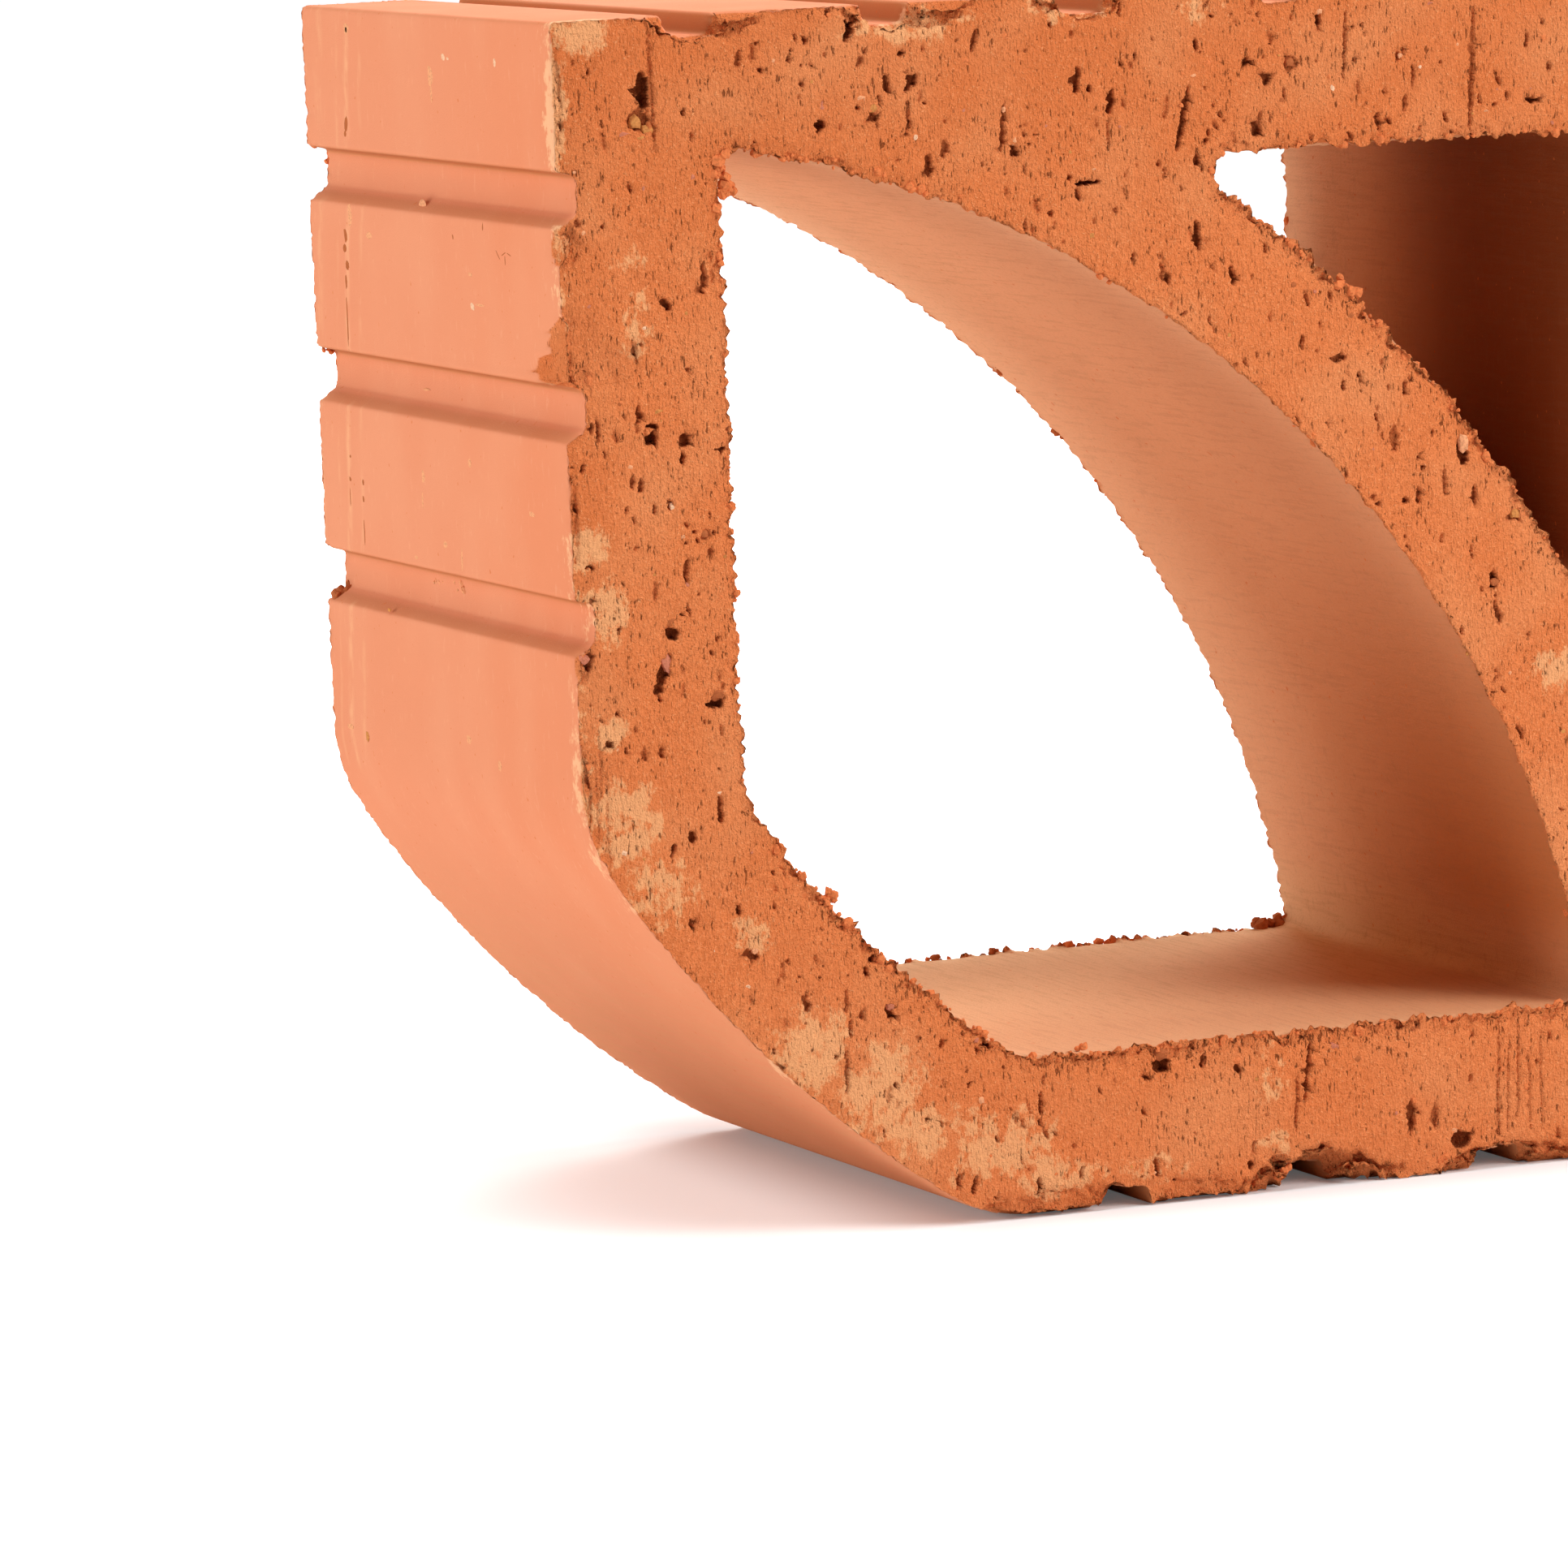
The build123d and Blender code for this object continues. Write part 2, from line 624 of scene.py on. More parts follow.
FRONT_PITS = tuple(Pit(*row) for row in (
    (15.5, 188.3, 1.3, 3.4, 3.0), (14.6, 183.6, 2.4, 2.2, 1.2), (17.0, 188.8, 0.34, 11.5, 0.7, 1.0),
    (45.7, 181.0, 1.3, 0.9, 2.4), (61.9, 186.9, 0.8, 1.8, 1.9, -35.0), (57.6, 187.1, 0.6, 1.6, 1.5),
    (55.2, 181.5, 1.0, 0.8, 1.4), (52.0, 197.0, 0.9, 3.2, 2.2, -25.0), (77.8, 179.0, 0.45, 4.6, 1.1, -5.0),
    (79.7, 174.7, 0.8, 0.9, 1.5), (64.5, 173.5, 0.7, 2.2, 1.3), (67.5, 176.0, 0.8, 1.5, 1.0),
    (61.2, 181.4, 0.4, 3.2, 0.9), (73.3, 193.2, 0.5, 2.2, 1.2, -15.0), (60.5, 191.6, 0.8, 0.7, 1.6),
    (32.0, 192.4, 0.6, 1.8, 1.0), (18.0, 154.0, 0.9, 1.3, 1.6, 30.0), (24.6, 157.6, 0.5, 3.0, 1.1),
    (14.5, 132.5, 1.3, 0.9, 2.6), (14.6, 134.6, 1.4, 0.5, 1.6), (12.6, 136.7, 0.6, 1.7, 1.2),
    (20.3, 131.8, 1.0, 1.2, 1.8), (19.9, 129.2, 0.7, 1.2, 1.5), (26.6, 130.3, 1.2, 0.6, 1.4),
    (5.4, 134.7, 0.36, 2.5, 1.0), (16.8, 101.0, 1.2, 1.0, 2.3), (14.9, 94.6, 1.0, 4.2, 1.9, -20.0),
    (23.7, 89.2, 1.9, 0.9, 2.6), (19.7, 111.1, 0.45, 2.6, 1.1, -8.0), (23.1, 116.7, 0.9, 1.1, 0.7),
    (17.2, 121.9, 0.5, 1.0, 1.0), (12.4, 125.3, 0.5, 1.3, 1.1), (3.1, 112.6, 0.9, 0.5, 1.3),
    (1.8, 97.7, 1.4, 1.9, 1.2), (5.2, 84.0, 0.7, 0.8, 1.3), (23.8, 72.0, 0.5, 2.6, 1.2),
    (18.9, 67.8, 0.7, 1.0, 1.5), (15.4, 66.0, 0.5, 1.4, 1.3, -15.0), (18.0, 53.7, 0.5, 1.2, 1.3),
    (28.2, 47.9, 2.0, 0.8, 1.1, -30.0), (52.0, 36.2, 0.9, 0.8, 1.7), (49.5, 45.6, 0.9, 0.8, 1.5),
    (69.2, 29.4, 0.9, 0.8, 1.6), (78.1, 18.9, 0.4, 2.4, 1.1), (63.0, 7.6, 0.4, 1.2, 1.1),
    (31.9, 28.7, 1.6, 1.1, 1.3), (37.4, 39.5, 0.4, 2.0, 0.9), (44.5, 38.9, 0.35, 2.2, 0.8),
    (44.0, 27.3, 0.4, 4.2, 0.9), (100.0, 23.4, 1.6, 1.8, 2.4), (97.6, 21.1, 0.7, 0.6, 1.3),
    (113.8, 21.3, 0.7, 0.9, 1.4), (126.5, 20.0, 0.42, 6.4, 1.3, -8.0), (124.3, 14.5, 0.35, 5.5, 0.8, -4.0),
    (145.2, 10.4, 0.9, 3.0, 1.3), (149.6, 10.0, 0.5, 2.6, 0.9), (154.2, 5.7, 2.0, 1.8, 2.2),
    (115.5, 5.1, 0.6, 0.8, 1.4), (91.1, 185.8, 0.8, 2.8, 1.7, -8.0), (93.3, 184.3, 0.6, 0.7, 1.5),
    (97.0, 182.0, 0.7, 2.3, 1.9, -8.0), (96.4, 176.8, 0.3, 3.2, 0.7, -4.0),
    (109.8, 178.4, 0.6, 6.2, 1.5, -13.0), (92.5, 169.1, 2.4, 0.55, 2.2, 4.0), (121.6, 187.2, 0.7, 0.8, 1.7),
    (125.0, 184.0, 0.7, 1.3, 1.5), (129.5, 186.4, 1.3, 1.4, 0.9, 40.0), (134.8, 193.2, 0.7, 1.2, 1.5),
    (139.4, 189.0, 0.34, 6.8, 0.9, -4.0), (162.4, 183.8, 0.5, 11.8, 0.9, -4.0),
    (173.1, 178.1, 1.1, 0.9, 1.9), (123.0, 176.0, 0.9, 1.4, 1.7), (111.7, 159.3, 0.7, 2.8, 1.7),
    (117.7, 152.4, 0.55, 1.9, 1.6), (112.1, 171.6, 0.6, 1.0, 1.3), (151.6, 183.0, 0.35, 2.4, 0.8),
    (158.7, 120.6, 1.2, 2.5, 2.0, 5.0), (168.0, 109.3, 1.4, 1.2, 0.9), (163.6, 98.8, 0.9, 1.5, 1.7),
    (146.1, 123.6, 0.9, 2.5, 0.9), (136.6, 137.7, 1.6, 0.9, 1.2), (160.5, 113.1, 0.45, 2.1, 1.2),
    (155.1, 115.7, 0.35, 2.8, 0.9), (147.8, 113.2, 0.7, 0.6, 1.3), (137.1, 133.1, 0.4, 1.0, 1.2),
    (161.5, 15.0, 0.2, 11.0, 0.6, -3.0), (163.3, 14.0, 0.17, 10.0, 0.5, -3.0),
    (165.2, 16.0, 0.2, 10.0, 0.6, -2.0), (167.2, 13.0, 0.17, 9.0, 0.5), (169.4, 15.0, 0.17, 10.0, 0.5),
    (2.6, 75.0, 0.17, 9.0, 0.4), (4.3, 72.0, 0.17, 9.0, 0.4), (3.4, 81.0, 0.16, 7.0, 0.4),
))

FRONT_BLOOMS = tuple(Bloom(*row) for row in (
    (5.0, 198.0, 7.0, 3.5), (62.0, 196.5, 10.0, 3.0), (90.0, 198.5, 7.0, 3.0),
    (113.0, 196.0, 4.0, 2.5, 0.7), (11.4, 161.4, 3.0, 2.6, 0.8), (12.7, 151.1, 3.0, 7.0, 0.75),
    (2.6, 115.5, 3.6, 4.0), (5.4, 105.6, 4.6, 5.0), (5.3, 85.7, 3.0, 2.6), (7.0, 70.0, 6.5, 7.5),
    (13.0, 60.0, 6.0, 6.0, 0.8), (28.0, 51.0, 3.6, 3.6, 0.8), (37.3, 31.5, 6.5, 7.0),
    (50.0, 23.6, 8.0, 8.0), (57.5, 16.5, 6.0, 5.0), (70.7, 12.1, 8.5, 6.5), (80.0, 6.4, 8.0, 4.0),
    (98.0, 6.2, 5.0, 2.6, 0.75), (120.0, 19.0, 2.5, 6.0, 0.75), (120.1, 8.5, 3.0, 3.0, 0.75),
    (174.4, 83.0, 4.0, 3.5), (0.0, 186.0, 2.2, 14.0), (0.0, 160.0, 1.8, 9.0, 0.6),
    (0.0, 112.0, 2.0, 8.0, 0.6), (0.0, 78.0, 2.6, 14.0, 0.7),
))

FRONT_CHIPS = tuple(Chip(*row) for row in (
    (0.0, 144.2, 3.6, 14.0, 1.1), (0.0, 148.0, 5.5, 8.0, 0.9), (0.0, 164.5, 4.0, 4.5, 1.1),
    (0.0, 97.0, 3.5, 2.2, 0.8), (0.0, 188.0, 9.0, 1.5, 0.5), (0.0, 76.0, 9.0, 1.6, 0.6),
    (0.0, 120.0, 8.0, 1.3, 0.5), (25.5, 200.0, 11.0, 4.0, 1.8), (61.5, 200.0, 12.0, 4.0, 2.0),
    (92.0, 200.0, 9.0, 4.0, 1.4), (130.0, 200.0, 8.0, 3.0, 1.0), (165.0, 200.0, 8.0, 3.0, 0.9),
    (73.0, 0.0, 7.0, 4.0, 0.9), (84.0, 0.0, 13.0, 4.5, 1.2), (106.0, 0.0, 9.0, 4.0, 1.1),
    (128.0, 0.0, 14.5, 6.0, 3.3), (163.0, 0.0, 15.0, 3.6, 1.8), (188.0, 0.0, 10.0, 3.0, 1.0),
))

FRONT_PORES, FRONT_SEED = 460, 21
BACK_PORES, BACK_SEED = 420, 22


@dataclass
class FaceMarks:
    """What the saw wire, the stones and the handling left on one cut face. Sizes are in millimetres.

    The wobble keeps the marks from being clean ellipses, pores are scattered in crowds, pits have steep
    walls and floors that drop to their lower ends, and flakes have torn outlines.
    """

    pits: Tuple[Pit, ...] = ()
    blooms: Tuple[Bloom, ...] = ()
    chips: Tuple[Chip, ...] = ()
    wobble_mm: float = 0.7
    wobble_pitch: float = 1.3
    wobble_seed: int = 11
    wobble_least_share: float = 0.35
    wobble_gain: float = 0.6
    finer_wobble: float = 2.3
    finer_share: float = 0.5
    pore_pitch: float = 1.7
    pore_width_least: float = 0.19
    pore_width_spread: float = 0.34
    pore_stretch: float = 3.6
    pore_depths: Tuple[float, float] = (0.4, 1.3)
    pore_tilt: float = 10.0
    crowd_scale: float = 0.035
    crowd_step: float = 0.37
    crowd_mean: float = 0.45
    crowd_least: float = 0.08
    pit_spare: float = 1.0
    wall_top_share: float = 0.96
    wall_share: float = 0.2
    floor_mean: float = 0.85
    floor_drop: float = 0.15
    bloom_fade: float = 1.5
    flake_scale: float = 0.45
    flake_fine_scale: float = 1.3
    flake_fine_share: float = 0.6
    flake_ragged: float = 0.35
    flake_wall_share: float = 0.25
    flake_mean: float = 0.8
    flake_swing: float = 0.5

    def scatter(self, section: Section, count: int, seed: int) -> "FaceMarks":
        """Add small random pores, torn upright by the wire.

        Args:
            section: The block's section.
            count: How many pores.
            seed: Seed of the draw.

        Returns:
            The marks themselves.
        """
        draw = np.random.default_rng(seed)
        places = (section.lattice(self.pore_pitch * MM, seed) - section.corner()) / MM
        scale, layer = self.crowd_scale, seed * self.crowd_step
        crowd = np.array([noise.noise((x * scale, z * scale, layer)) for x, z in places])
        weight = np.clip(self.crowd_mean + crowd, self.crowd_least, None)
        chosen = draw.choice(len(places), count, replace=False, p=weight / weight.sum())
        added = []
        for x, z in places[chosen]:
            width = self.pore_width_least + self.pore_width_spread * draw.random() ** 2
            height = width * (1.0 + self.pore_stretch * draw.random() ** 1.5)
            depth = draw.uniform(*self.pore_depths)
            added.append(Pit(x, z, width, height, depth, draw.normal(0.0, self.pore_tilt)))
        self.pits = self.pits + tuple(added)
        return self

    def _wobbled(self, flat: np.ndarray) -> Tuple[np.ndarray, np.ndarray]:
        """Shift places a little at random, so that no mark is a clean ellipse.

        Args:
            flat: The places.

        Returns:
            Their shifted values across and up.
        """
        noise.seed_set(self.wobble_seed)
        step, finer = self.wobble_pitch, self.finer_wobble

        def shift(x: float, z: float) -> Vector:
            """One place's shift, coarse and fine."""
            coarse = noise.noise_vector((x / step, z / step, 4.0))
            return coarse + self.finer_share * noise.noise_vector((finer * x / step, finer * z / step, 9.0))

        shifts = np.array([shift(x, z) for x, z in flat])
        return flat[:, 0] + shifts[:, 0] * self.wobble_mm, flat[:, 1] + shifts[:, 1] * self.wobble_mm

    @staticmethod
    def _reach(pit: Pit, x: np.ndarray, z: np.ndarray, grow: float = 0.0) -> Tuple[np.ndarray, np.ndarray]:
        """Measure places from a pit's middle.

        Args:
            pit: The pit.
            x: The places across.
            z: The places up.
            grow: How much larger the pit is taken to be.

        Returns:
            The distances in parts of the pit's size, and the heights in it.
        """
        turn = math.radians(pit.tilt)
        across = (x - pit.x) * math.cos(turn) + (z - pit.z) * math.sin(turn)
        along = (z - pit.z) * math.cos(turn) - (x - pit.x) * math.sin(turn)
        reach = np.hypot(across / (pit.half_width + grow), along / (pit.half_height + grow))
        return reach, along / pit.half_height

    @staticmethod
    def _around(pit: Pit, flat: np.ndarray, margin: float) -> np.ndarray:
        """Numbers of the places in a square around a pit."""
        span = max(pit.half_width, pit.half_height) + margin
        return np.flatnonzero((np.abs(flat[:, 0] - pit.x) < span) & (np.abs(flat[:, 1] - pit.z) < span))

    def near_pit(self, flat: np.ndarray, margin: float) -> np.ndarray:
        """Find the places in or beside a pit.

        Args:
            flat: The places.
            margin: How far beside a pit still counts.

        Returns:
            Whether each place does.
        """
        close = np.zeros(len(flat), bool)
        for pit in self.pits:
            here = self._around(pit, flat, margin)
            close[here] |= self._reach(pit, flat[here, 0], flat[here, 1], margin)[0] < 1.0
        return close

    def pit_depth(self, flat: np.ndarray) -> np.ndarray:
        """Work out the pits.

        Args:
            flat: The places.

        Returns:
            The depth at each place.
        """
        x, z = self._wobbled(flat)
        deep = np.zeros(len(flat))
        for pit in self.pits:
            here = self._around(pit, flat, self.pit_spare)
            share = min(1.0, self.wobble_least_share + self.wobble_gain * pit.half_width)
            px = flat[here, 0] + (x[here] - flat[here, 0]) * share
            pz = flat[here, 1] + (z[here] - flat[here, 1]) * share
            reach, height = self._reach(pit, px, pz)
            wall = np.clip((self.wall_top_share - reach) / self.wall_share, 0.0, 1.0)
            sunk = pit.depth * wall * wall * (3 - 2 * wall) * (self.floor_mean - self.floor_drop * height)
            deep[here] = np.maximum(deep[here], sunk)
        return deep

    def bloom(self, flat: np.ndarray) -> np.ndarray:
        """Work out the pale patches.

        Args:
            flat: The places.

        Returns:
            Their strength at each place.
        """
        pale = np.zeros(len(flat))
        for patch in self.blooms:
            reach = np.hypot((flat[:, 0] - patch.x) / patch.reach_x, (flat[:, 1] - patch.z) / patch.reach_z)
            pale = np.maximum(pale, patch.strength * np.clip(self.bloom_fade - reach, 0.0, 1.0))
        return pale

    def chip_bite(self, flat: np.ndarray, deep: np.ndarray) -> np.ndarray:
        """Work out the flakes off the edges.

        Args:
            flat: The places in the section.
            deep: Their depths behind the face.

        Returns:
            How far the clay is gone at each place.
        """
        bite = np.zeros(len(flat))
        coarse, fine = self.flake_scale, self.flake_fine_scale

        def flaky(x: float, y: float, z: float) -> float:
            """One place's noise, coarse and fine."""
            rough = noise.noise((x * coarse, y * coarse, z * coarse))
            return rough + self.flake_fine_share * noise.noise((x * fine, y * fine, z * fine))

        torn = np.array([flaky(x, y, z) for (x, z), y in zip(flat, deep)])
        for chip in self.chips:
            upright = chip.x == 0.0
            beside = flat[:, 0] - chip.x if upright else flat[:, 1] - chip.z
            run = flat[:, 1] - chip.z if upright else flat[:, 0] - chip.x
            reach = np.hypot(run / chip.along, np.maximum(np.abs(beside), deep) / chip.back)
            reach = reach + self.flake_ragged * torn
            wall = np.clip((1.0 - reach) / self.flake_wall_share, 0.0, 1.0)
            bite = np.maximum(bite, chip.bite * wall * (self.flake_mean + self.flake_swing * torn))
        return np.maximum(bite, 0.0)


@dataclass
class BlockBody:
    """The block as one closed mesh, with what the relief and the finish need stored on it."""

    section: Section
    front_marks: FaceMarks
    back_marks: FaceMarks
    front_pitches: Tuple[float, float, float] = (1.35 * MM, 0.62 * MM, 0.27 * MM)
    back_pitches: Tuple[float, float, float] = (1.80 * MM, 1.05 * MM, 0.62 * MM)
    edge_band: float = 2.6 * MM
    pit_margin: float = 0.25
    front_rows_mm: Tuple[float, ...] = (0.6, 1.3, 2.2, 3.3, 4.9, 7.4, 10.5, 14.0, 18.0)
    back_rows_mm: Tuple[float, ...] = (10.0, 3.2, 1.2)
    chip_reach_mm: float = 17.0
    arris_mm: float = 9.0
    arris_fade: float = 1.5
    arris_fade_mm: float = 4.2
    kept_gap_share: float = 0.72
    kept_step_share: float = 0.8
    seed: int = 11

    def build(self) -> bpy.types.Object:
        """Make the closed mesh.

        Returns:
            The object, with its attributes and before its relief.
        """
        section = self.section
        edge, outward, runs = section.edge_points(), section.edge_outward(), section.edge_runs()
        inner_front = self._points(self.front_marks, self.front_pitches, self.seed)
        inner_back = self._points(self.back_marks, self.back_pitches, self.seed + 5)
        depth = section.back - section.front
        rows = [row * MM for row in self.front_rows_mm] + [depth - row * MM for row in self.back_rows_mm]
        kept = ("rim", "cut", "facing", "crumble", "opening", "shelter", "outward")
        places, store = [], {name: [] for name in kept}

        def layer(flat: np.ndarray, y: float, rim: np.ndarray, side: float, near: np.ndarray) -> None:
            """Add one layer of vertices and what is stored on them.

            Args:
                flat: Places in the section.
                y: Place along the depth.
                rim: Distances from the edge of the cut face.
                side: Which way a cut face looks, or 0 on the drawn sides.
                near: Numbers of the nearest edge points.
            """
            places.append(np.stack([flat[:, 0], np.full(len(flat), y), flat[:, 1]], axis=1))
            store["rim"].append(rim / MM)
            store["cut"].append(np.full(len(flat), abs(side)))
            store["facing"].append(np.full(len(flat), side))
            store["crumble"].append(section.crumble()[near])
            store["opening"].append(section.in_opening()[near])
            # The painted groove shade is kept on the vertices for the finish.
            store["shelter"].append(section.shelter()[near])
            air = outward[near]
            store["outward"].append(np.stack([air[:, 0], np.zeros(len(flat)), air[:, 1]], axis=1))

        zero, all_edge = np.zeros(len(edge)), np.arange(len(edge))
        cuts = ((inner_front, section.front, Side.FRONT), (inner_back, section.back, Side.BACK))
        for inner, y, side in cuts:
            gaps, near = section.nearest(inner)
            layer(edge, y, zero, side.value, all_edge)
            layer(inner, y, gaps, side.value, near)
        for row in rows:
            layer(edge, section.front + row, zero + min(row, depth - row), 0.0, all_edge)

        count, fronts = len(edge), len(inner_front)
        back_start = count + fronts
        skin_start = back_start + count + len(inner_back)
        rings = [0] + [skin_start + number * count for number in range(len(rows))] + [back_start]
        faces = [tuple(face) for face in section.fill(inner_front).tolist()]
        faces += [tuple(face[::-1]) for face in (section.fill(inner_back) + back_start).tolist()]
        for near_ring, far_ring in zip(rings, rings[1:]):
            faces += [(a + near_ring, a + far_ring, b + far_ring, b + near_ring) for a, b in runs.tolist()]

        mesh = bpy.data.meshes.new("block_body")
        spots = np.concatenate(places)
        mesh.from_pydata(spots.tolist(), [], faces)
        mesh.polygons.foreach_set("use_smooth", np.ones(len(mesh.polygons), bool))
        values = {name: np.concatenate(parts) for name, parts in store.items()}
        self._store_marks(spots, values)
        for name, value in values.items():
            self._store(mesh, name, value)
        mesh.update()
        body = bpy.data.objects.new("breeze_block_body", mesh)
        bpy.context.scene.collection.objects.link(body)
        return body

    def _points(self, marks: FaceMarks, pitches: Tuple[float, float, float], seed: int) -> np.ndarray:
        """Place a face's inner points, closer together at the edges and closest at the pits.

        Args:
            marks: The face's marks.
            pitches: Distances between points in the open, at the edges and at the pits.
            seed: Seed of the shake.

        Returns:
            The points.
        """
        kept = []
        for rank, pitch in enumerate(pitches):
            flat = self.section.lattice(pitch, seed + rank)
            pitted = marks.near_pit((flat - self.section.corner()) / MM, self.pit_margin)
            flat = flat[pitted == (rank == 2)]
            gaps, _ = self.section.nearest(flat)
            band = (gaps < self.edge_band) == (rank == 1)
            clear = self.kept_gap_share * max(pitch, self.kept_step_share * self.section.step)
            kept.append(flat[(gaps > clear) & (band | (rank == 2))])
        return np.concatenate(kept)

    def _store_marks(self, spots: np.ndarray, values: Dict[str, np.ndarray]) -> None:
        """Work out the pits, pale patches and flakes at each vertex.

        Args:
            spots: The vertices.
            values: What is stored on them, added to here.
        """
        flat = (spots[:, [0, 2]] - self.section.corner()) / MM
        deep = (spots[:, 1] - self.section.front) / MM
        values["pit"], values["bloom"], values["chip"] = (np.zeros(len(spots)) for _ in range(3))
        for side, marks in ((Side.FRONT, self.front_marks), (Side.BACK, self.back_marks)):
            here = np.flatnonzero(values["facing"] == side.value)
            values["pit"][here] = marks.pit_depth(flat[here])
            values["bloom"][here] = marks.bloom(flat[here])
        edge = np.flatnonzero((deep < self.chip_reach_mm) & (values["rim"] < self.chip_reach_mm))
        values["chip"][edge] = self.front_marks.chip_bite(flat[edge], deep[edge])
        outside = (values["facing"] == 0.0) & (values["opening"] == 0.0)
        arris = np.flatnonzero((deep < self.arris_mm) & outside)
        fade = np.clip(self.arris_fade - deep[arris] / self.arris_fade_mm, 0.0, 1.0)
        values["bloom"][arris] = self.front_marks.bloom(flat[arris]) * fade

    @staticmethod
    def _store(mesh: bpy.types.Mesh, name: str, values: np.ndarray) -> None:
        """Keep one number or one vector for each vertex.

        Args:
            mesh: The mesh.
            name: Name of the attribute.
            values: The numbers or vectors.
        """
        if values.ndim == 1:
            mesh.attributes.new(name, "FLOAT", "POINT").data.foreach_set("value", values)
        else:
            mesh.attributes.new(name, "FLOAT_VECTOR", "POINT").data.foreach_set("vector", values.ravel())


@dataclass
class WireCutRelief:
    """Geometry Nodes that roughen the cut faces and crumble the edges. Sizes are in millimetres."""

    sink: float = 0.5
    grain_depth: float = 0.30
    drag_depth: float = 0.16
    crumble_reach: float = 1.7
    skin_depth: float = 0.06
    seed: float = 3.0

    def inputs(self) -> Dict[str, float]:
        """The tree's numbers by name.

        Returns:
            The numbers.
        """
        return {
            "Sink": self.sink, "Grain depth": self.grain_depth, "Drag depth": self.drag_depth,
            "Crumble reach": self.crumble_reach, "Skin depth": self.skin_depth, "Seed": self.seed,
        }

    def tree(self, material: bpy.types.Material) -> Tuple[bpy.types.NodeTree, Dict[str, str]]:
        """Build the node tree.

        Args:
            material: Finish of the block.

        Returns:
            The tree and the identifiers of its inputs by name.
        """
        tree, ids = new_geometry_tree("wire_cut_relief", tuple(self.inputs()))
        graph = Graph(tree)
        given = graph.add("NodeGroupInput").socket.node

        def size(name: str) -> Wire:
            """One of the tree's inputs."""
            return Wire(graph, given.outputs[name])

        def stored(name: str) -> Wire:
            """A number kept on the vertices."""
            return graph.add("GeometryNodeInputNamedAttribute", {"data_type": "FLOAT"}, {"Name": name})

        place = graph.vector("SCALE", graph.add("GeometryNodeInputPosition"), 1.0 / MM)
        x, y, z = graph.split(place)
        rim, cut, facing, pit = stored("rim"), stored("cut"), stored("facing"), stored("pit")
        crumble, opening, chip = stored("crumble"), stored("opening"), stored("chip")
        # The two cut faces and each seed read the noises far from one another.
        layer = facing * 57.0 + size("Seed") * 13.0
        flat = graph.combine(x, layer, z)

        # Drag lines run up the face, with the wire.
        drag = graph.noise(graph.combine(x * 0.7, layer, z * 0.035), 1.0, 3.0, 0.6)
        broad = graph.noise(graph.combine(x * 0.09, layer + 9.0, z * 0.03), 1.0, 1.0)
        grain = graph.noise(flat, 0.55, 4.0, 0.66)
        lumps = graph.noise(flat, 0.2, 2.0, 0.5)

        # Edges crumble where the wire leaves the clay.
        coarse = graph.noise(place, 0.17, 1.0, 0.5) - 0.5
        middle = graph.noise(graph.vector("ADD", place, (17.0, 31.0, 5.0)), 0.42, 2.0, 0.6) - 0.5
        lump = 0.45 - graph.cells(graph.vector("ADD", place, (40.0, 7.0, 3.0)), 0.52)
        ragged = 0.45 - graph.cells(graph.vector("ADD", place, (3.0, 60.0, 21.0)), 1.05)
        wear = (coarse * 2.2 + middle * 1.7 + lump * 1.5 + ragged * 0.8) * crumble * size("Crumble reach")
        wear = wear * opening + (1.0 - opening) * (wear.math("ABSOLUTE") * -0.7)
        near = rim.fade(0.0, 3.4, 1.0, 0.0)
        sideways = wear * near - chip

        # The faces sink by their grain, their pits, and the crumbs and lips along their edges.
        sunk = size("Sink") + (drag - 0.5) * size("Drag depth") * 2.0 + (broad - 0.5) * 0.30
        sunk = sunk + (grain - 0.5) * size("Grain depth") * 2.0 + (lumps - 0.5) * 0.25
        sunk = sunk + pit * rim.fade(0.1, 1.2) * (0.75 + grain * 0.5) + chip * 0.9
        sunk = sunk + rim.fade(0.0, 2.2, 1.0, 0.0) * (0.35 - lump * 0.8 - ragged * 0.7 + middle) * crumble
        torn_zone = crumble.fade(0.62, 0.95) * opening * rim.fade(0.5, 6.0, 1.0, 0.0)
        sunk = sunk + torn_zone * (0.2 - lump * 0.9 - ragged * 0.9)
        lip = opening * crumble.fade(0.34, 0.52, 1.0, 0.0) * rim.fade(0.3, 1.1, 1.0, 0.0)
        sunk = sunk - lip * (0.35 + ragged * 1.2)
        inward = (sunk.math("MAXIMUM", 0.02) * facing) * -MM

        # The drawn skin is smooth along the depth.
        skin = graph.noise(graph.combine(x * 0.35, y * 0.012, z * 0.35), 1.0, 2.0)
        sideways = sideways - skin * size("Skin depth") * (1.0 - cut)
        vectors = {"data_type": "FLOAT_VECTOR"}
        outward = graph.add("GeometryNodeInputNamedAttribute", vectors, {"Name": "outward"})
        shift = graph.vector("SCALE", outward, sideways * MM)
        shift = graph.vector("ADD", shift, graph.combine(0.0, inward, 0.0))

        mesh = size("Geometry")
        worn = chip + (wear * 0.4).math("ABSOLUTE") * near + opening * crumble * rim.fade(0.5, 1.8, 0.55, 0.0)
        # The pits' depth is kept as hollow; the finish paints the pits dark with it, as shade.
        for name, value in (("hollow", pit * cut), ("worn", worn)):
            mesh = graph.add(
                "GeometryNodeStoreNamedAttribute", {"data_type": "FLOAT"},
                {"Geometry": mesh, "Name": name, "Value": value},
            )
        mesh = graph.add("GeometryNodeSetPosition", None, {"Geometry": mesh, "Offset": shift})
        mesh = graph.add("GeometryNodeRealizeInstances", None, {"Geometry": mesh})
        mesh = graph.add("GeometryNodeSetMaterial", None, {"Geometry": mesh, "Material": material})
        graph.add("NodeGroupOutput", None, {"Geometry": mesh})
        return tree, ids

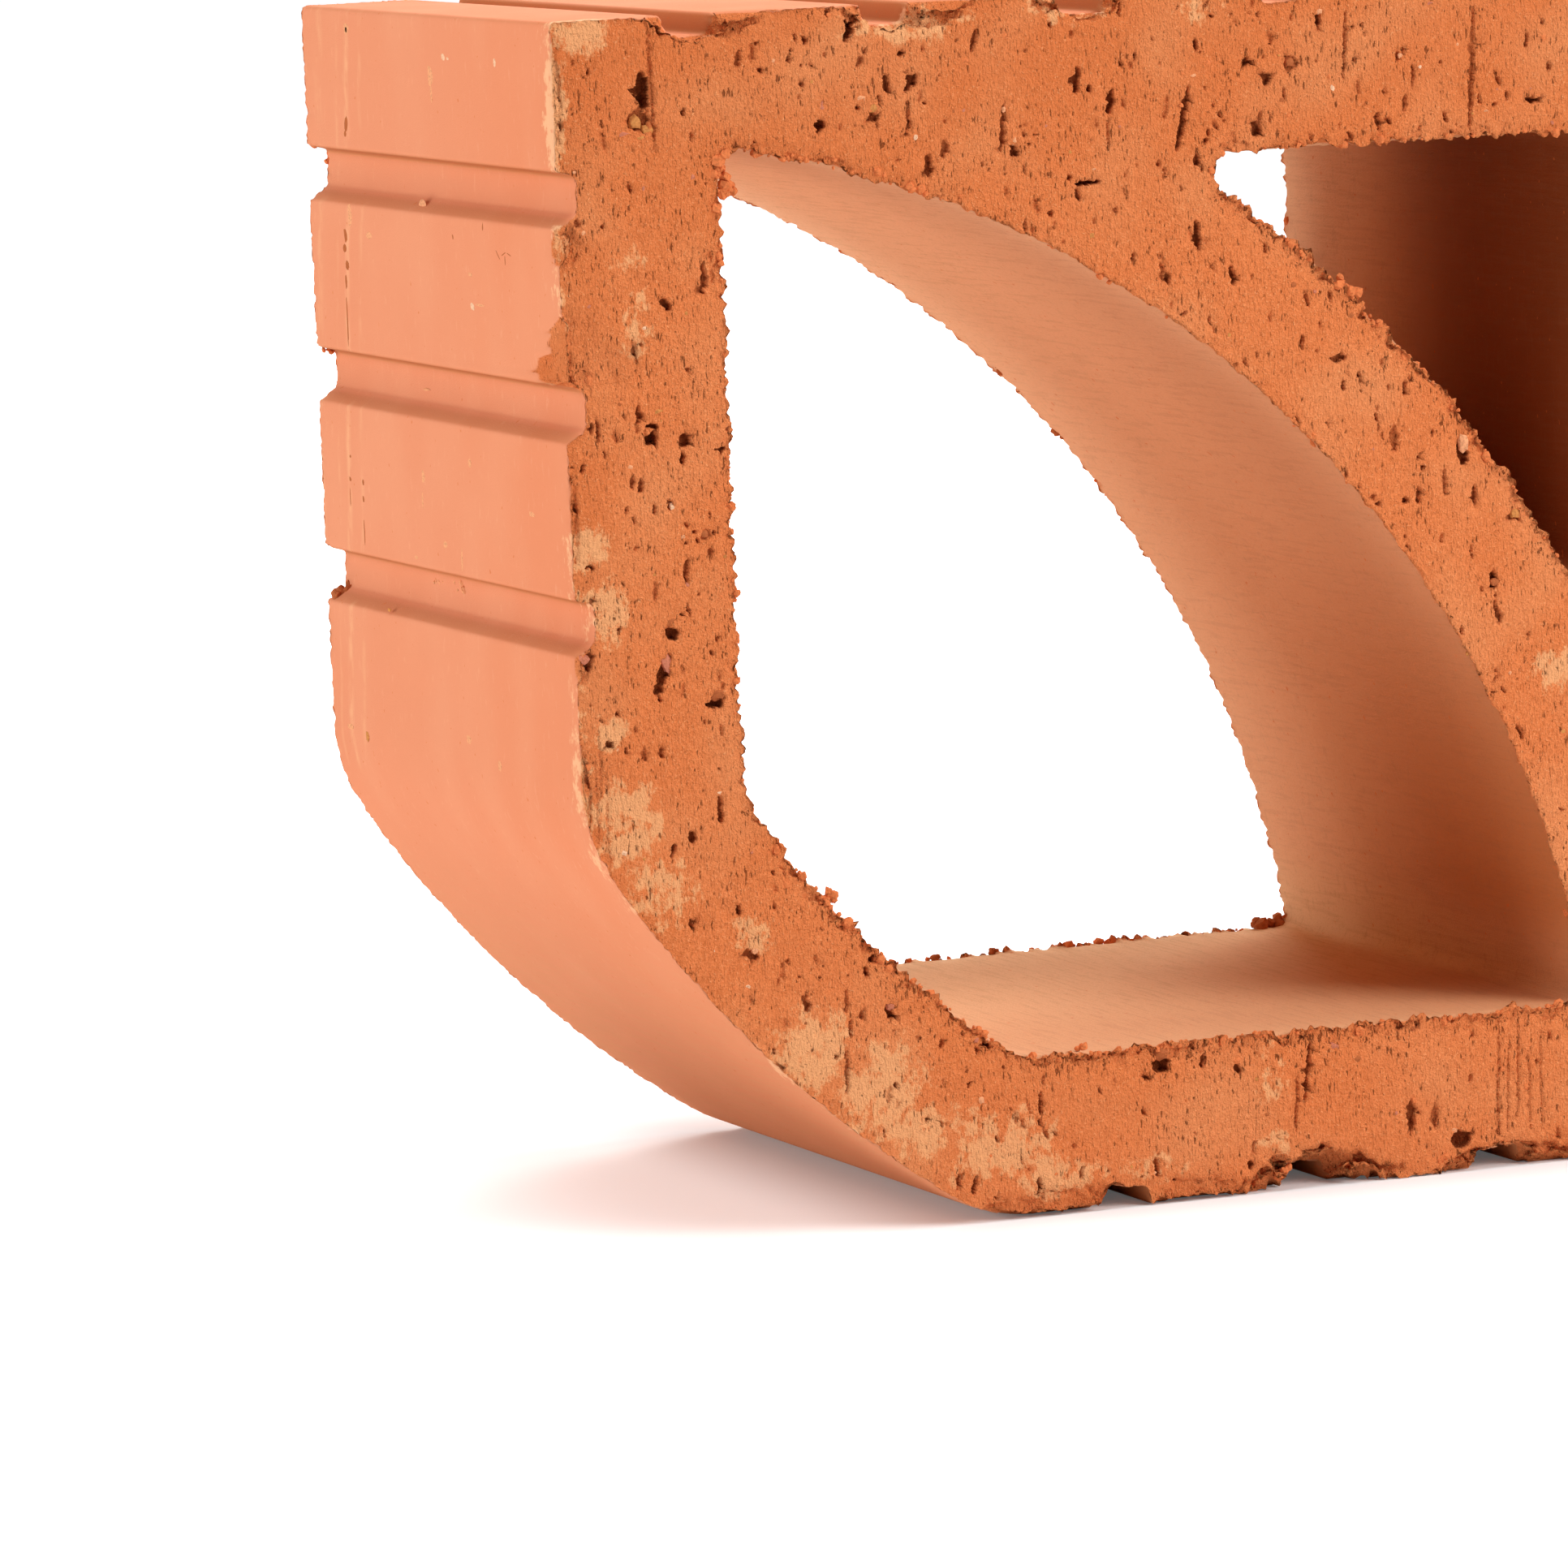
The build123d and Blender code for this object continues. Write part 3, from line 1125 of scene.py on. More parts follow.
    def apply(self, body: bpy.types.Object, material: bpy.types.Material) -> None:
        """Roughen the body and leave a plain mesh.

        Args:
            body: The closed mesh with its attributes.
            material: Finish of the block.
        """
        tree, ids = self.tree(material)
        relief = body.modifiers.new("wire_cut_relief", "NODES")
        relief.node_group = tree
        for name, value in self.inputs().items():
            relief[ids[name]] = value
        make_plain(body)


class Grit(Enum):
    """Kinds of stone and crumb in the clay, by their place on the finish's ramp."""

    CLAY = 0.05
    BROWN = 0.22
    PURPLE = 0.39
    OCHRE = 0.56
    PALE = 0.73
    WHITE = 0.90


@dataclass(frozen=True)
class Stone:
    """A stone in the front face, in millimetres from the block's lower left corner."""

    x: float
    z: float
    radius: float
    kind: Grit
    stretch: float = 1.0
    tilt: float = 0.0


FRONT_STONES = tuple(Stone(*row) for row in (
    (46.4, 183.7, 1.9, Grit.PURPLE), (11.7, 181.6, 1.5, Grit.PURPLE), (14.2, 183.2, 1.4, Grit.OCHRE),
    (16.2, 181.9, 1.2, Grit.OCHRE), (15.0, 180.8, 1.0, Grit.OCHRE), (52.9, 185.1, 1.3, Grit.PALE),
    (55.4, 183.2, 1.1, Grit.OCHRE), (20.6, 178.1, 0.6, Grit.PALE, 1.8),
    (23.4, 174.1, 0.6, Grit.PURPLE, 2.0), (16.8, 103.2, 1.5, Grit.BROWN),
    (15.6, 96.6, 1.1, Grit.PURPLE, 2.4, -20.0), (24.0, 91.0, 1.7, Grit.BROWN),
    (23.1, 116.7, 1.0, Grit.BROWN), (17.9, 121.4, 0.8, Grit.WHITE, 1.3), (15.8, 137.0, 1.4, Grit.OCHRE),
    (16.4, 135.4, 0.9, Grit.OCHRE), (100.0, 25.2, 1.6, Grit.BROWN), (135.9, 20.9, 1.2, Grit.BROWN, 1.5),
    (113.8, 22.6, 0.9, Grit.CLAY), (93.7, 171.2, 1.1, Grit.PALE), (114.5, 187.4, 1.2, Grit.CLAY, 1.4),
    (112.0, 185.4, 1.0, Grit.PALE), (121.9, 189.3, 1.1, Grit.PALE), (129.5, 186.6, 1.1, Grit.BROWN),
    (134.9, 194.8, 0.8, Grit.PALE), (155.0, 195.0, 1.3, Grit.PURPLE), (173.1, 179.9, 1.0, Grit.PURPLE),
    (136.9, 182.0, 0.5, Grit.WHITE, 1.8, -40.0), (158.8, 122.2, 1.1, Grit.PALE, 2.0),
    (168.0, 109.5, 1.1, Grit.OCHRE), (164.0, 98.4, 0.9, Grit.BROWN), (79.9, 176.5, 0.7, Grit.PALE, 1.5),
    (23.9, 74.8, 0.7, Grit.WHITE), (52.1, 37.4, 0.9, Grit.PURPLE), (1.6, 98.0, 1.0, Grit.PURPLE),
    (28.9, 48.6, 0.8, Grit.PALE), (131.5, 23.4, 1.0, Grit.PURPLE), (154.8, 8.0, 1.2, Grit.CLAY),
    (152.9, 7.4, 0.9, Grit.PALE),
))


@dataclass(frozen=True)
class Lump:
    """A cluster of crumbs at an edge, in millimetres from the block's lower left front corner."""

    x: float
    depth: float
    z: float
    reach: float
    count: int
    kind: Grit = Grit.CLAY


@dataclass(frozen=True)
class SideSpeck:
    """A flat speck on the grooved left side, in millimetres from the block's lower left front corner."""

    depth: float
    z: float
    radius: float
    kind: Grit
    stretch: float = 1.0
    tilt: float = 0.0
    sunk: float = 0.0


# Crumbs of the brown kind on the back edges, about 118 mm deep, are painted shade: they are coloured dark for
# the shade that they sit in.
LUMPS = tuple(Lump(*row) for row in (
    (28.9, 1.3, 175.8, 1.5, 6), (29.6, 1.6, 172.4, 1.7, 7), (30.9, 1.4, 171.6, 1.2, 3),
    (34.5, 1.2, 177.2, 1.1, 4), (39.5, 1.2, 176.4, 1.0, 4), (47.0, 1.2, 175.6, 1.1, 4),
    (56.0, 1.2, 172.4, 1.2, 5), (62.1, 1.0, 169.4, 1.2, 5), (43.4, 1.5, 56.4, 1.3, 5),
    (41.8, 1.4, 55.4, 1.2, 5), (28.4, 1.2, 106.9, 1.0, 4), (138.8, 1.5, 149.7, 1.5, 6),
    (143.8, 1.2, 142.8, 1.0, 4), (99.6, 1.5, 26.2, 1.2, 5), (118.9, 1.2, 26.9, 1.1, 4),
    (86.6, 1.2, 27.6, 1.0, 4), (94.4, 1.0, 153.3, 0.9, 3), (131.2, 1.0, 124.4, 0.9, 3),
    (103.4, 118.4, 149.2, 1.2, 6, Grit.BROWN), (105.6, 118.4, 147.4, 1.4, 7, Grit.BROWN),
    (108.0, 118.5, 145.6, 1.0, 4, Grit.BROWN), (125.5, 118.6, 130.2, 1.2, 5, Grit.BROWN),
    (130.9, 118.6, 125.4, 1.1, 5, Grit.BROWN), (137.2, 118.6, 117.4, 1.2, 5, Grit.BROWN),
    (156.7, 118.6, 94.0, 1.0, 4, Grit.BROWN), (174.2, 118.2, 27.4, 1.8, 8, Grit.BROWN),
    (109.4, 118.6, 26.9, 1.0, 4, Grit.BROWN), (120.6, 118.6, 27.0, 1.0, 4, Grit.BROWN),
    (133.6, 118.6, 26.8, 0.8, 3, Grit.BROWN), (0.9, 118.5, 176.2, 0.8, 3), (3.2, 118.6, 173.6, 0.8, 3),
    (1.0, 118.5, 141.0, 0.9, 3), (3.3, 118.6, 134.0, 0.9, 3), (2.2, 117.6, 100.4, 1.6, 9, Grit.BROWN),
    (58.5, 118.6, 9.4, 0.8, 3), (3.5, 73.1, 104.8, 0.9, 8, Grit.PALE),
    (3.5, 61.4, 105.0, 1.0, 12, Grit.PALE), (150.5, 1.2, 2.2, 1.3, 5), (122.0, 1.2, 3.0, 1.2, 5),
))

SIDE_SPECKS = tuple(SideSpeck(*row) for row in (
    (50.1, 193.1, 1.1, Grit.WHITE, 0.6, 20.0), (47.9, 192.9, 0.6, Grit.WHITE, 0.5),
    (26.0, 192.9, 0.75, Grit.WHITE, 1.2), (56.5, 189.8, 1.3, Grit.PALE, 1.5),
    (56.4, 187.0, 0.5, Grit.PALE, 4.0), (67.3, 168.1, 1.9, Grit.PALE, 0.42, 0.0, 1.5),
    (41.2, 152.7, 1.3, Grit.WHITE, 0.55, 15.0), (37.6, 153.1, 2.8, Grit.PALE, 0.1),
    (41.6, 157.9, 1.0, Grit.PALE, 0.4), (99.0, 180.4, 1.0, Grit.BROWN, 1.6, 14.0),
    (99.6, 178.8, 0.7, Grit.BROWN, 0.9), (96.8, 196.6, 1.5, Grit.PALE, 0.8),
    (96.8, 196.4, 0.6, Grit.BROWN, 1.0), (101.6, 161.6, 0.8, Grit.BROWN, 1.8, -12.0),
    (102.4, 159.4, 1.1, Grit.BROWN, 0.8), (101.4, 156.6, 1.1, Grit.BROWN, 0.9, 20.0),
    (102.4, 153.8, 0.5, Grit.BROWN, 3.0), (102.6, 147.0, 0.3, Grit.BROWN, 16.0, 1.0),
    (99.0, 165.0, 1.0, Grit.PALE, 2.2), (90.0, 162.1, 1.8, Grit.PALE, 0.4),
    (28.3, 161.7, 1.5, Grit.BROWN, 0.08, 38.0), (25.6, 162.0, 1.4, Grit.BROWN, 0.08, -18.0),
    (23.2, 162.0, 1.3, Grit.BROWN, 0.08, 12.0), (25.1, 161.0, 0.16, Grit.BROWN, 6.0),
    (49.1, 163.7, 0.3, Grit.BROWN, 1.8, -20.0), (34.9, 165.9, 0.3, Grit.BROWN, 2.4, 5.0),
    (74.1, 136.9, 1.9, Grit.PALE, 0.14, 0.0, 3.3), (68.4, 123.0, 0.8, Grit.PALE, 1.6, 3.0),
    (69.3, 119.0, 0.35, Grit.PALE, 5.0), (104.3, 124.0, 0.5, Grit.BROWN, 0.6),
    (104.8, 120.1, 0.5, Grit.BROWN, 0.9), (105.2, 116.9, 0.2, Grit.BROWN, 9.0),
    (98.4, 120.0, 0.55, Grit.BROWN, 1.1), (98.6, 117.1, 0.45, Grit.BROWN, 1.4),
    (98.8, 111.4, 0.2, Grit.BROWN, 13.0), (59.2, 112.3, 1.2, Grit.PALE, 0.6),
    (51.5, 110.3, 0.4, Grit.PALE, 6.0, 2.0), (73.6, 109.1, 1.0, Grit.PALE, 0.4),
    (110.3, 77.4, 1.8, Grit.PALE, 0.3), (102.0, 76.4, 0.8, Grit.OCHRE, 1.2),
    (51.9, 80.5, 1.2, Grit.PALE, 0.7), (37.7, 77.6, 1.0, Grit.PALE, 1.0),
    (17.7, 120.3, 1.5, Grit.PALE, 0.35), (45.8, 126.8, 1.0, Grit.PALE, 0.9, -20.0),
    (88.3, 99.1, 0.7, Grit.OCHRE, 0.5),
))


@dataclass
class GrogScatter:
    """Stones and crumbs on the cut faces and along their edges."""

    section: Section
    specks: int = 150
    crumbs: int = 240
    seed: int = 5
    roughness: float = 0.85
    shapes: int = 3
    shape_step: float = 7.3
    shape_scale: float = 1.1
    stone_sink: float = 0.42 * MM
    stone_flat_share: float = 0.62
    stone_girth_share: float = 0.85
    speck_pitch: float = 2.3 * MM
    speck_radii_mm: Tuple[float, float] = (0.22, 0.55)
    speck_stretches: Tuple[float, float] = (0.8, 1.6)
    speck_tilt: float = 0.6
    speck_sink: float = 0.38 * MM
    speck_flat_share: float = 0.6
    speck_kind_shares: Tuple[float, ...] = (0.42, 0.16, 0.12, 0.10, 0.14, 0.06)
    side_speck_thin: float = 0.16 * MM
    crumb_radius_least: float = 0.3
    crumb_radius_spread: float = 0.8
    crumb_outward: Tuple[float, float] = (-1.3, 0.1)
    crumb_sink_share: float = 0.8
    crumb_sink_least: float = 0.3
    crumb_sink_spread: float = 1.6
    crumb_girths: Tuple[float, float] = (0.7, 1.2)
    crumb_turn: float = 3.0
    lump_crumbs: Tuple[float, float] = (0.4, 0.75)
    lump_sink_share: float = 0.25
    lump_edge_mm: float = 20.0
    lump_edge_shares: Tuple[float, float, float] = (0.85, 0.2, 0.3)
    lump_groove_shares: Tuple[float, float, float] = (0.4, 0.05, 1.6)

    def build(self, material: bpy.types.Material) -> bpy.types.Object:
        """Scatter the stones and crumbs with Geometry Nodes.

        Args:
            material: Finish of the stones.

        Returns:
            The plain mesh of all of them.
        """
        draw = np.random.default_rng(self.seed)
        rows: List[Row] = [self._placed(stone) for stone in FRONT_STONES]
        rows += [self._side_speck(speck) for speck in SIDE_SPECKS]
        rows += [row for lump in LUMPS for row in self._lump(lump, draw)]
        for side in Side:
            rows += self._specks(side, draw) + self._crumbs(side, draw)
        mesh = bpy.data.meshes.new("grog")
        mesh.from_pydata([row[0] for row in rows], [], [])
        for number, name in ((1, "girth"), (2, "turn")):
            values = np.array([row[number] for row in rows], float)
            mesh.attributes.new(name, "FLOAT_VECTOR", "POINT").data.foreach_set("vector", values.ravel())
        mesh.attributes.new("tint", "FLOAT", "POINT").data.foreach_set("value", [row[3] for row in rows])
        grog = bpy.data.objects.new("breeze_block_grog", mesh)
        bpy.context.scene.collection.objects.link(grog)
        modifier = grog.modifiers.new("scatter_grog", "NODES")
        modifier.node_group, ids = self._tree(material)
        modifier[ids["Roughness"]] = self.roughness
        modifier[ids["Seed"]] = float(self.seed)
        make_plain(grog)
        return grog

    def _face(self, side: Side) -> float:
        """Place of a cut face along the depth."""
        return self.section.front if side is Side.FRONT else self.section.back

    def _spot(self, x: float, depth: float, z: float) -> Place:
        """Turn millimetres from the block's lower left front corner into a place.

        Args:
            x: To the right.
            depth: Behind the front face.
            z: Up.

        Returns:
            The place.
        """
        corner = self.section.corner()
        return corner[0] + x * MM, self.section.front + depth * MM, corner[1] + z * MM

    def _placed(self, stone: Stone) -> Row:
        """Place one stone.

        Args:
            stone: The stone.

        Returns:
            Its row.
        """
        radius = stone.radius * MM
        flat = self.stone_flat_share * radius
        x, y, z = self._spot(stone.x, 0.0, stone.z)
        wide = radius * self.stone_girth_share
        turn = (0.0, math.radians(stone.tilt), 0.0)
        return (x, y + flat + self.stone_sink, z), (wide, flat, wide * stone.stretch), turn, stone.kind.value

    def _side_speck(self, speck: SideSpeck) -> Row:
        """Place one flat speck on the left side.

        Args:
            speck: The speck.

        Returns:
            Its row.
        """
        radius, thin = speck.radius * MM, self.side_speck_thin
        x, y, z = self._spot(speck.sunk, speck.depth, speck.z)
        turn = (math.radians(speck.tilt), 0.0, 0.0)
        return (x + thin / 2, y, z), (thin, radius, radius * speck.stretch), turn, speck.kind.value

    def _lump(self, lump: Lump, draw: np.random.Generator) -> List[Row]:
        """String the crumbs of one cluster along the edge that they hang on.

        Args:
            lump: The cluster.
            draw: The random draw.

        Returns:
            A row for each crumb.
        """
        middle = np.array(self._spot(lump.x, lump.depth, lump.z))
        depth_mm = (self.section.back - self.section.front) / MM
        at_edge = min(lump.depth, depth_mm - lump.depth) < self.lump_edge_mm
        shares = self.lump_edge_shares if at_edge else self.lump_groove_shares
        _, near = self.section.nearest(middle[None, [0, 2]])
        air = self.section.edge_outward()[near[0]]
        along, aside = np.array([-air[1], 0.0, air[0]]), np.array([air[0], 0.0, air[1]])
        rows = []
        for _ in range(lump.count):
            stray = draw.normal(0.0, 1.0, 3) * lump.reach * MM
            run, out, deep = stray * shares
            sunk = self.lump_sink_share * lump.reach * MM
            spot = middle + along * run + aside * (out - sunk) + np.array([0.0, deep, 0.0])
            radius = lump.reach * draw.uniform(*self.lump_crumbs) * MM
            rows.append(self._crumb(tuple(spot), radius, lump.kind, draw))
        return rows

    def _crumb(self, spot: Place, radius: float, kind: Grit, draw: np.random.Generator) -> Row:
        """Give one crumb its random shape and turn.

        Args:
            spot: Its place.
            radius: Its size.
            kind: Its kind.
            draw: The random draw.

        Returns:
            Its row.
        """
        girth = tuple(radius * draw.uniform(*self.crumb_girths) for _ in range(3))
        return spot, girth, tuple(draw.uniform(0.0, self.crumb_turn, 3)), kind.value

    def _specks(self, side: Side, draw: np.random.Generator) -> List[Row]:
        """Scatter small stones all over a face.

        Args:
            side: The face.
            draw: The random draw.

        Returns:
            A row for each stone.
        """
        places = self.section.lattice(self.speck_pitch, self.seed + 3)
        kinds = [kind.value for kind in Grit]
        rows = []
        for x, z in places[draw.choice(len(places), self.specks, replace=False)]:
            radius = draw.uniform(*self.speck_radii_mm) * MM
            flat = self.speck_flat_share * radius
            spot = (x, self._face(side) - side.value * (flat + self.speck_sink), z)
            kind = draw.choice(kinds, p=self.speck_kind_shares)
            girth = (radius, flat, radius * draw.uniform(*self.speck_stretches))
            rows.append((spot, girth, (0.0, draw.uniform(-self.speck_tilt, self.speck_tilt), 0.0), kind))
        return rows

    def _crumbs(self, side: Side, draw: np.random.Generator) -> List[Row]:
        """Scatter crumbs along the edges of the openings.

        Args:
            side: The face.
            draw: The random draw.

        Returns:
            A row for each crumb.
        """
        edge, air = self.section.edge_points(), self.section.edge_outward()
        weight = (self.section.crumble() * self.section.in_opening()) ** 3
        rows = []
        for number in draw.choice(len(edge), self.crumbs, replace=False, p=weight / weight.sum()):
            radius = (self.crumb_radius_least + self.crumb_radius_spread * draw.random() ** 3) * MM
            flat = edge[number] + air[number] * radius * draw.uniform(*self.crumb_outward)
            sunk = (self.crumb_sink_least + self.crumb_sink_spread * draw.random() ** 2) * MM
            inward = radius * self.crumb_sink_share + sunk
            spot = (flat[0], self._face(side) - side.value * inward, flat[1])
            rows.append(self._crumb(spot, radius, Grit.CLAY, draw))
        return rows

    def _tree(self, material: bpy.types.Material) -> Tuple[bpy.types.NodeTree, Dict[str, str]]:
        """Build the node tree: a few rough shapes, picked at random on the points.

        Args:
            material: Finish of the stones.

        Returns:
            The tree and the identifiers of its inputs by name.
        """
        tree, ids = new_geometry_tree("scatter_grog", ("Roughness", "Seed"))
        graph = Graph(tree)
        given = graph.add("NodeGroupInput").socket.node
        rough, seed = Wire(graph, given.outputs["Roughness"]), Wire(graph, given.outputs["Seed"])
        shapes = graph.add("GeometryNodeGeometryToInstance")
        for number in range(self.shapes):
            sides = {"Size": (2.0, 2.0, 2.0), 1: 3, 2: 3, 3: 3}
            cube = graph.add("GeometryNodeMeshCube", None, sides, "Mesh")
            place = graph.add("GeometryNodeInputPosition")
            ball = graph.vector("NORMALIZE", place)
            moved = graph.vector("ADD", ball, graph.combine(seed + self.shape_step * number, 0.0, 0.0))
            lump = 1.0 + (graph.noise(moved, self.shape_scale, 2.0) - 0.5) * rough * 2.0
            rounded = graph.vector("SCALE", ball, lump)
            shape = graph.add("GeometryNodeSetPosition", None, {"Geometry": cube, "Position": rounded})
            tree.links.new(shape.socket, shapes.socket.node.inputs[0])

        def stored(name: str) -> Wire:
            """A vector kept on the points."""
            return graph.add("GeometryNodeInputNamedAttribute", {"data_type": "FLOAT_VECTOR"}, {"Name": name})

        span = {4: 0, 5: self.shapes - 1, "Seed": self.seed}
        pick = graph.add("FunctionNodeRandomValue", {"data_type": "INT"}, span, 2)
        turn = graph.add("FunctionNodeEulerToRotation", None, {0: stored("turn")})
        spread = graph.add("GeometryNodeInstanceOnPoints", None, {
            "Points": Wire(graph, given.outputs["Geometry"]), "Instance": shapes, "Pick Instance": True,
            "Instance Index": pick, "Rotation": turn, "Scale": stored("girth"),
        })
        mesh = graph.add("GeometryNodeRealizeInstances", None, {"Geometry": spread})
        low, high = (tuple(corner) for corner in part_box(self.section.node))
        held = graph.vector("MAXIMUM", graph.add("GeometryNodeInputPosition"), low)
        held = graph.vector("MINIMUM", held, high)
        mesh = graph.add("GeometryNodeSetPosition", None, {"Geometry": mesh, "Position": held})
        mesh = graph.add("GeometryNodeSetMaterial", None, {"Geometry": mesh, "Material": material})
        graph.add("NodeGroupOutput", None, {"Geometry": mesh})
        return tree, ids


def new_geometry_tree(name: str, inputs: Sequence[str]) -> Tuple[bpy.types.NodeTree, Dict[str, str]]:
    """Start a Geometry Nodes tree.

    Args:
        name: Name of the tree.
        inputs: Names of its numbers.

    Returns:
        The tree and the identifiers of its numbers by name.
    """
    tree = bpy.data.node_groups.new(name, "GeometryNodeTree")
    tree.interface.new_socket(name="Geometry", in_out="OUTPUT", socket_type="NodeSocketGeometry")
    tree.interface.new_socket(name="Geometry", in_out="INPUT", socket_type="NodeSocketGeometry")
    made = {
        label: tree.interface.new_socket(name=label, in_out="INPUT", socket_type="NodeSocketFloat").identifier
        for label in inputs
    }
    return tree, made


def make_plain(piece: bpy.types.Object) -> None:
    """Turn a piece's evaluated shape into its own mesh and drop its modifiers.

    Args:
        piece: The piece.
    """
    depsgraph = bpy.context.evaluated_depsgraph_get()
    made = bpy.data.meshes.new_from_object(
        piece.evaluated_get(depsgraph), preserve_all_data_layers=True, depsgraph=depsgraph
    )
    piece.modifiers.clear()
    piece.data = made


class ClayPattern:
    """What the clay's finish is mixed from: places in millimetres, stored numbers and noises."""

    def __init__(self, graph: Graph) -> None:
        """Add the shared nodes.

        Args:
            graph: The material's graph.
        """
        self.graph = graph
        self.place = graph.vector("SCALE", graph.add("ShaderNodeTexCoord", None, None, "Object"), 1.0 / MM)
        self.x, self.y, self.z = x, y, z = graph.split(self.place)
        worn = self.stored("worn")
        self.cut = self.stored("cut").fade(0.3, 0.7).math("MAXIMUM", worn.fade(0.15, 0.4))
        self.inside = self.stored("opening").fade(0.3, 0.7)
        self.grain = graph.noise(self.place, 1.0, 3.0, 0.72)
        self.fine = graph.noise(self.place, 3.2, 1.0, 0.6)
        self.fibre = graph.noise(graph.combine(x * 2.3, y * 2.3, z * 0.5), 1.0, 2.0, 0.62)
        self.dust = graph.noise(graph.combine(x * 0.8, y * 0.8, z * 0.3), 1.0, 2.0, 0.6)
        self.drawn = graph.noise(graph.combine(x * 1.1, y * 0.07, z * 1.1), 1.0, 2.0, 0.65)
        crowd = graph.noise(self.place, 0.16, 1.0, 0.6).fade(0.35, 0.65)
        ragged = self.stored("crumble").fade(0.62, 0.95) * self.stored("opening")
        ragged = ragged * self.stored("rim").fade(0.5, 6.0, 1.0, 0.0) * self.cut
        fibres = self.fibre * 0.75 + self.grain * 0.25
        self.torn = (fibres - crowd * 0.05 - ragged * 0.05).fade(0.29, 0.36, 1.0, 0.0)

    def stored(self, name: str) -> Wire:
        """A number kept on the vertices."""
        return self.graph.add("ShaderNodeAttribute", {"attribute_name": name}, None, "Fac")


@dataclass(frozen=True)
class FiredClay:
    """Unglazed fired clay: rough orange where the wire cut it, pale and smooth where the die drew it.

    A seam is a pale upright smear on the left side: its middle, half width and strength.
    """

    cut_colour: Colour = (0.86, 0.246, 0.081)
    cut_dark: Colour = (0.67, 0.163, 0.045)
    # Painted shade in the pits and torn fibres of the cut faces.
    cut_painted_shade: Colour = (0.21, 0.042, 0.012)
    skin_colour: Colour = (0.77, 0.281, 0.147)
    skin_pale: Colour = (0.82, 0.350, 0.195)
    skin_fresh: Colour = (0.77, 0.260, 0.127)
    skin_low: Colour = (0.72, 0.310, 0.150)
    # Painted shade in the grooves.
    groove_shade_colour: Colour = (0.39, 0.130, 0.035)
    cream: Colour = (0.90, 0.500, 0.270)
    inside_colour: Colour = (0.73, 0.325, 0.160)
    inside_pale: Colour = (0.83, 0.420, 0.230)
    # Painted light and shade inside the openings: light on the upper left and on the floor, shade towards the
    # front and on the right.
    inside_painted_light: Colour = (0.92, 0.550, 0.330)
    inside_painted_shade: Colour = (0.46, 0.130, 0.032)
    inside_painted_shade_far: Colour = (0.20, 0.030, 0.006)
    inside_painted_floor_light: Colour = (0.80, 0.490, 0.265)
    inside_sooty: Colour = (0.36, 0.130, 0.050)
    bloom_colour: Colour = (0.95, 0.450, 0.200)
    seams: Tuple[Tuple[float, float, float], ...] = (
        (37.0, 2.0, 0.4), (30.5, 1.4, 0.22), (51.0, 2.6, 0.25), (42.0, 1.0, 0.2),
    )
    roughness: float = 0.95
    gloss: float = 0.03

    def material(self) -> bpy.types.Material:
        """Build the finish.

        Returns:
            The material.
        """
        made = bpy.data.materials.new("fired_clay")
        made.use_nodes = True
        graph = Graph(made.node_tree)
        clay = ClayPattern(graph)
        skin = graph.mix(clay.inside, self._outside(clay), self._lining(clay))
        speck = graph.noise(clay.place, 0.9, 1.0, 0.5).fade(0.73, 0.79)
        skin = graph.mix(speck * 0.6, skin, self.cut_dark)
        tone = graph.mix(clay.cut, skin, self._cut_face(clay))
        tone = self._marked(clay, tone)
        bump = graph.add("ShaderNodeBump", None, {
            "Strength": 1.0, "Distance": 1.0 * MM, "Height": self._height(clay),
        })
        shader = graph.add("ShaderNodeBsdfPrincipled", None, {
            "Base Color": tone, "Roughness": self.roughness, "Specular IOR Level": self.gloss, "Normal": bump,
        })
        graph.add("ShaderNodeOutputMaterial", None, {"Surface": shader})
        return made

    def _cut_face(self, clay: ClayPattern) -> Wire:
        """Mix the colour of the wire-cut faces, with shade painted a little darker at the top and at the left
        edge.

        Args:
            clay: The patterns.

        Returns:
            The colour.
        """
        graph = clay.graph
        mottle = (clay.grain - 0.5) * 1.5 + (clay.fine - 0.5) * 1.2 + 0.7
        tone = graph.mix(mottle, self.cut_dark, self.cut_colour)
        # Painted shade: darker towards the top and at the left edge.
        tone = graph.mix(clay.z.fade(150.0, 195.0, 0.0, 0.45), tone, self.cut_dark)
        tone = graph.mix(clay.x.fade(-100.0, -88.0, 0.4, 0.0), tone, self.cut_dark)
        tone = graph.mix(clay.fine.fade(0.62, 0.78) * 0.5, tone, self.bloom_colour)
        patch = graph.noise(clay.place, 0.05, 1.0, 0.55)
        return graph.mix(patch.fade(0.4, 0.8) * 0.25, tone, self.bloom_colour)

    def _outside(self, clay: ClayPattern) -> Wire:
        """Mix the colour of the drawn sides, with upright smears left by rain and handling, and painted shade
        in the grooves.

        Args:
            clay: The patterns.

        Returns:
            The colour.
        """
        graph, x, y, z = clay.graph, clay.x, clay.y, clay.z
        cloud = graph.noise(graph.combine(x * 0.05, y * 0.05, z * 0.03), 1.0, 1.0, 0.6)
        pale = cloud.fade(0.35, 0.75) * 0.3 + clay.dust.fade(0.58, 0.8) * 0.5
        fresh = graph.mix(y.fade(-60.0, 10.0), self.skin_fresh, self.skin_colour)
        skin = graph.mix(pale, fresh, self.skin_pale)
        bow = z.fade(15.0, 72.0, 0.75, 0.0)
        skin = graph.mix(bow * (0.5 + clay.drawn.fade(0.3, 0.7) * 0.5), skin, self.skin_low)
        skin = graph.mix(self._seam_cover(clay), skin, self.cream)
        # Painted shade in the grooves, under the steep wall and on the outer part of the slope.
        return graph.mix(clay.stored("shelter") * 0.62, skin, self.groove_shade_colour)

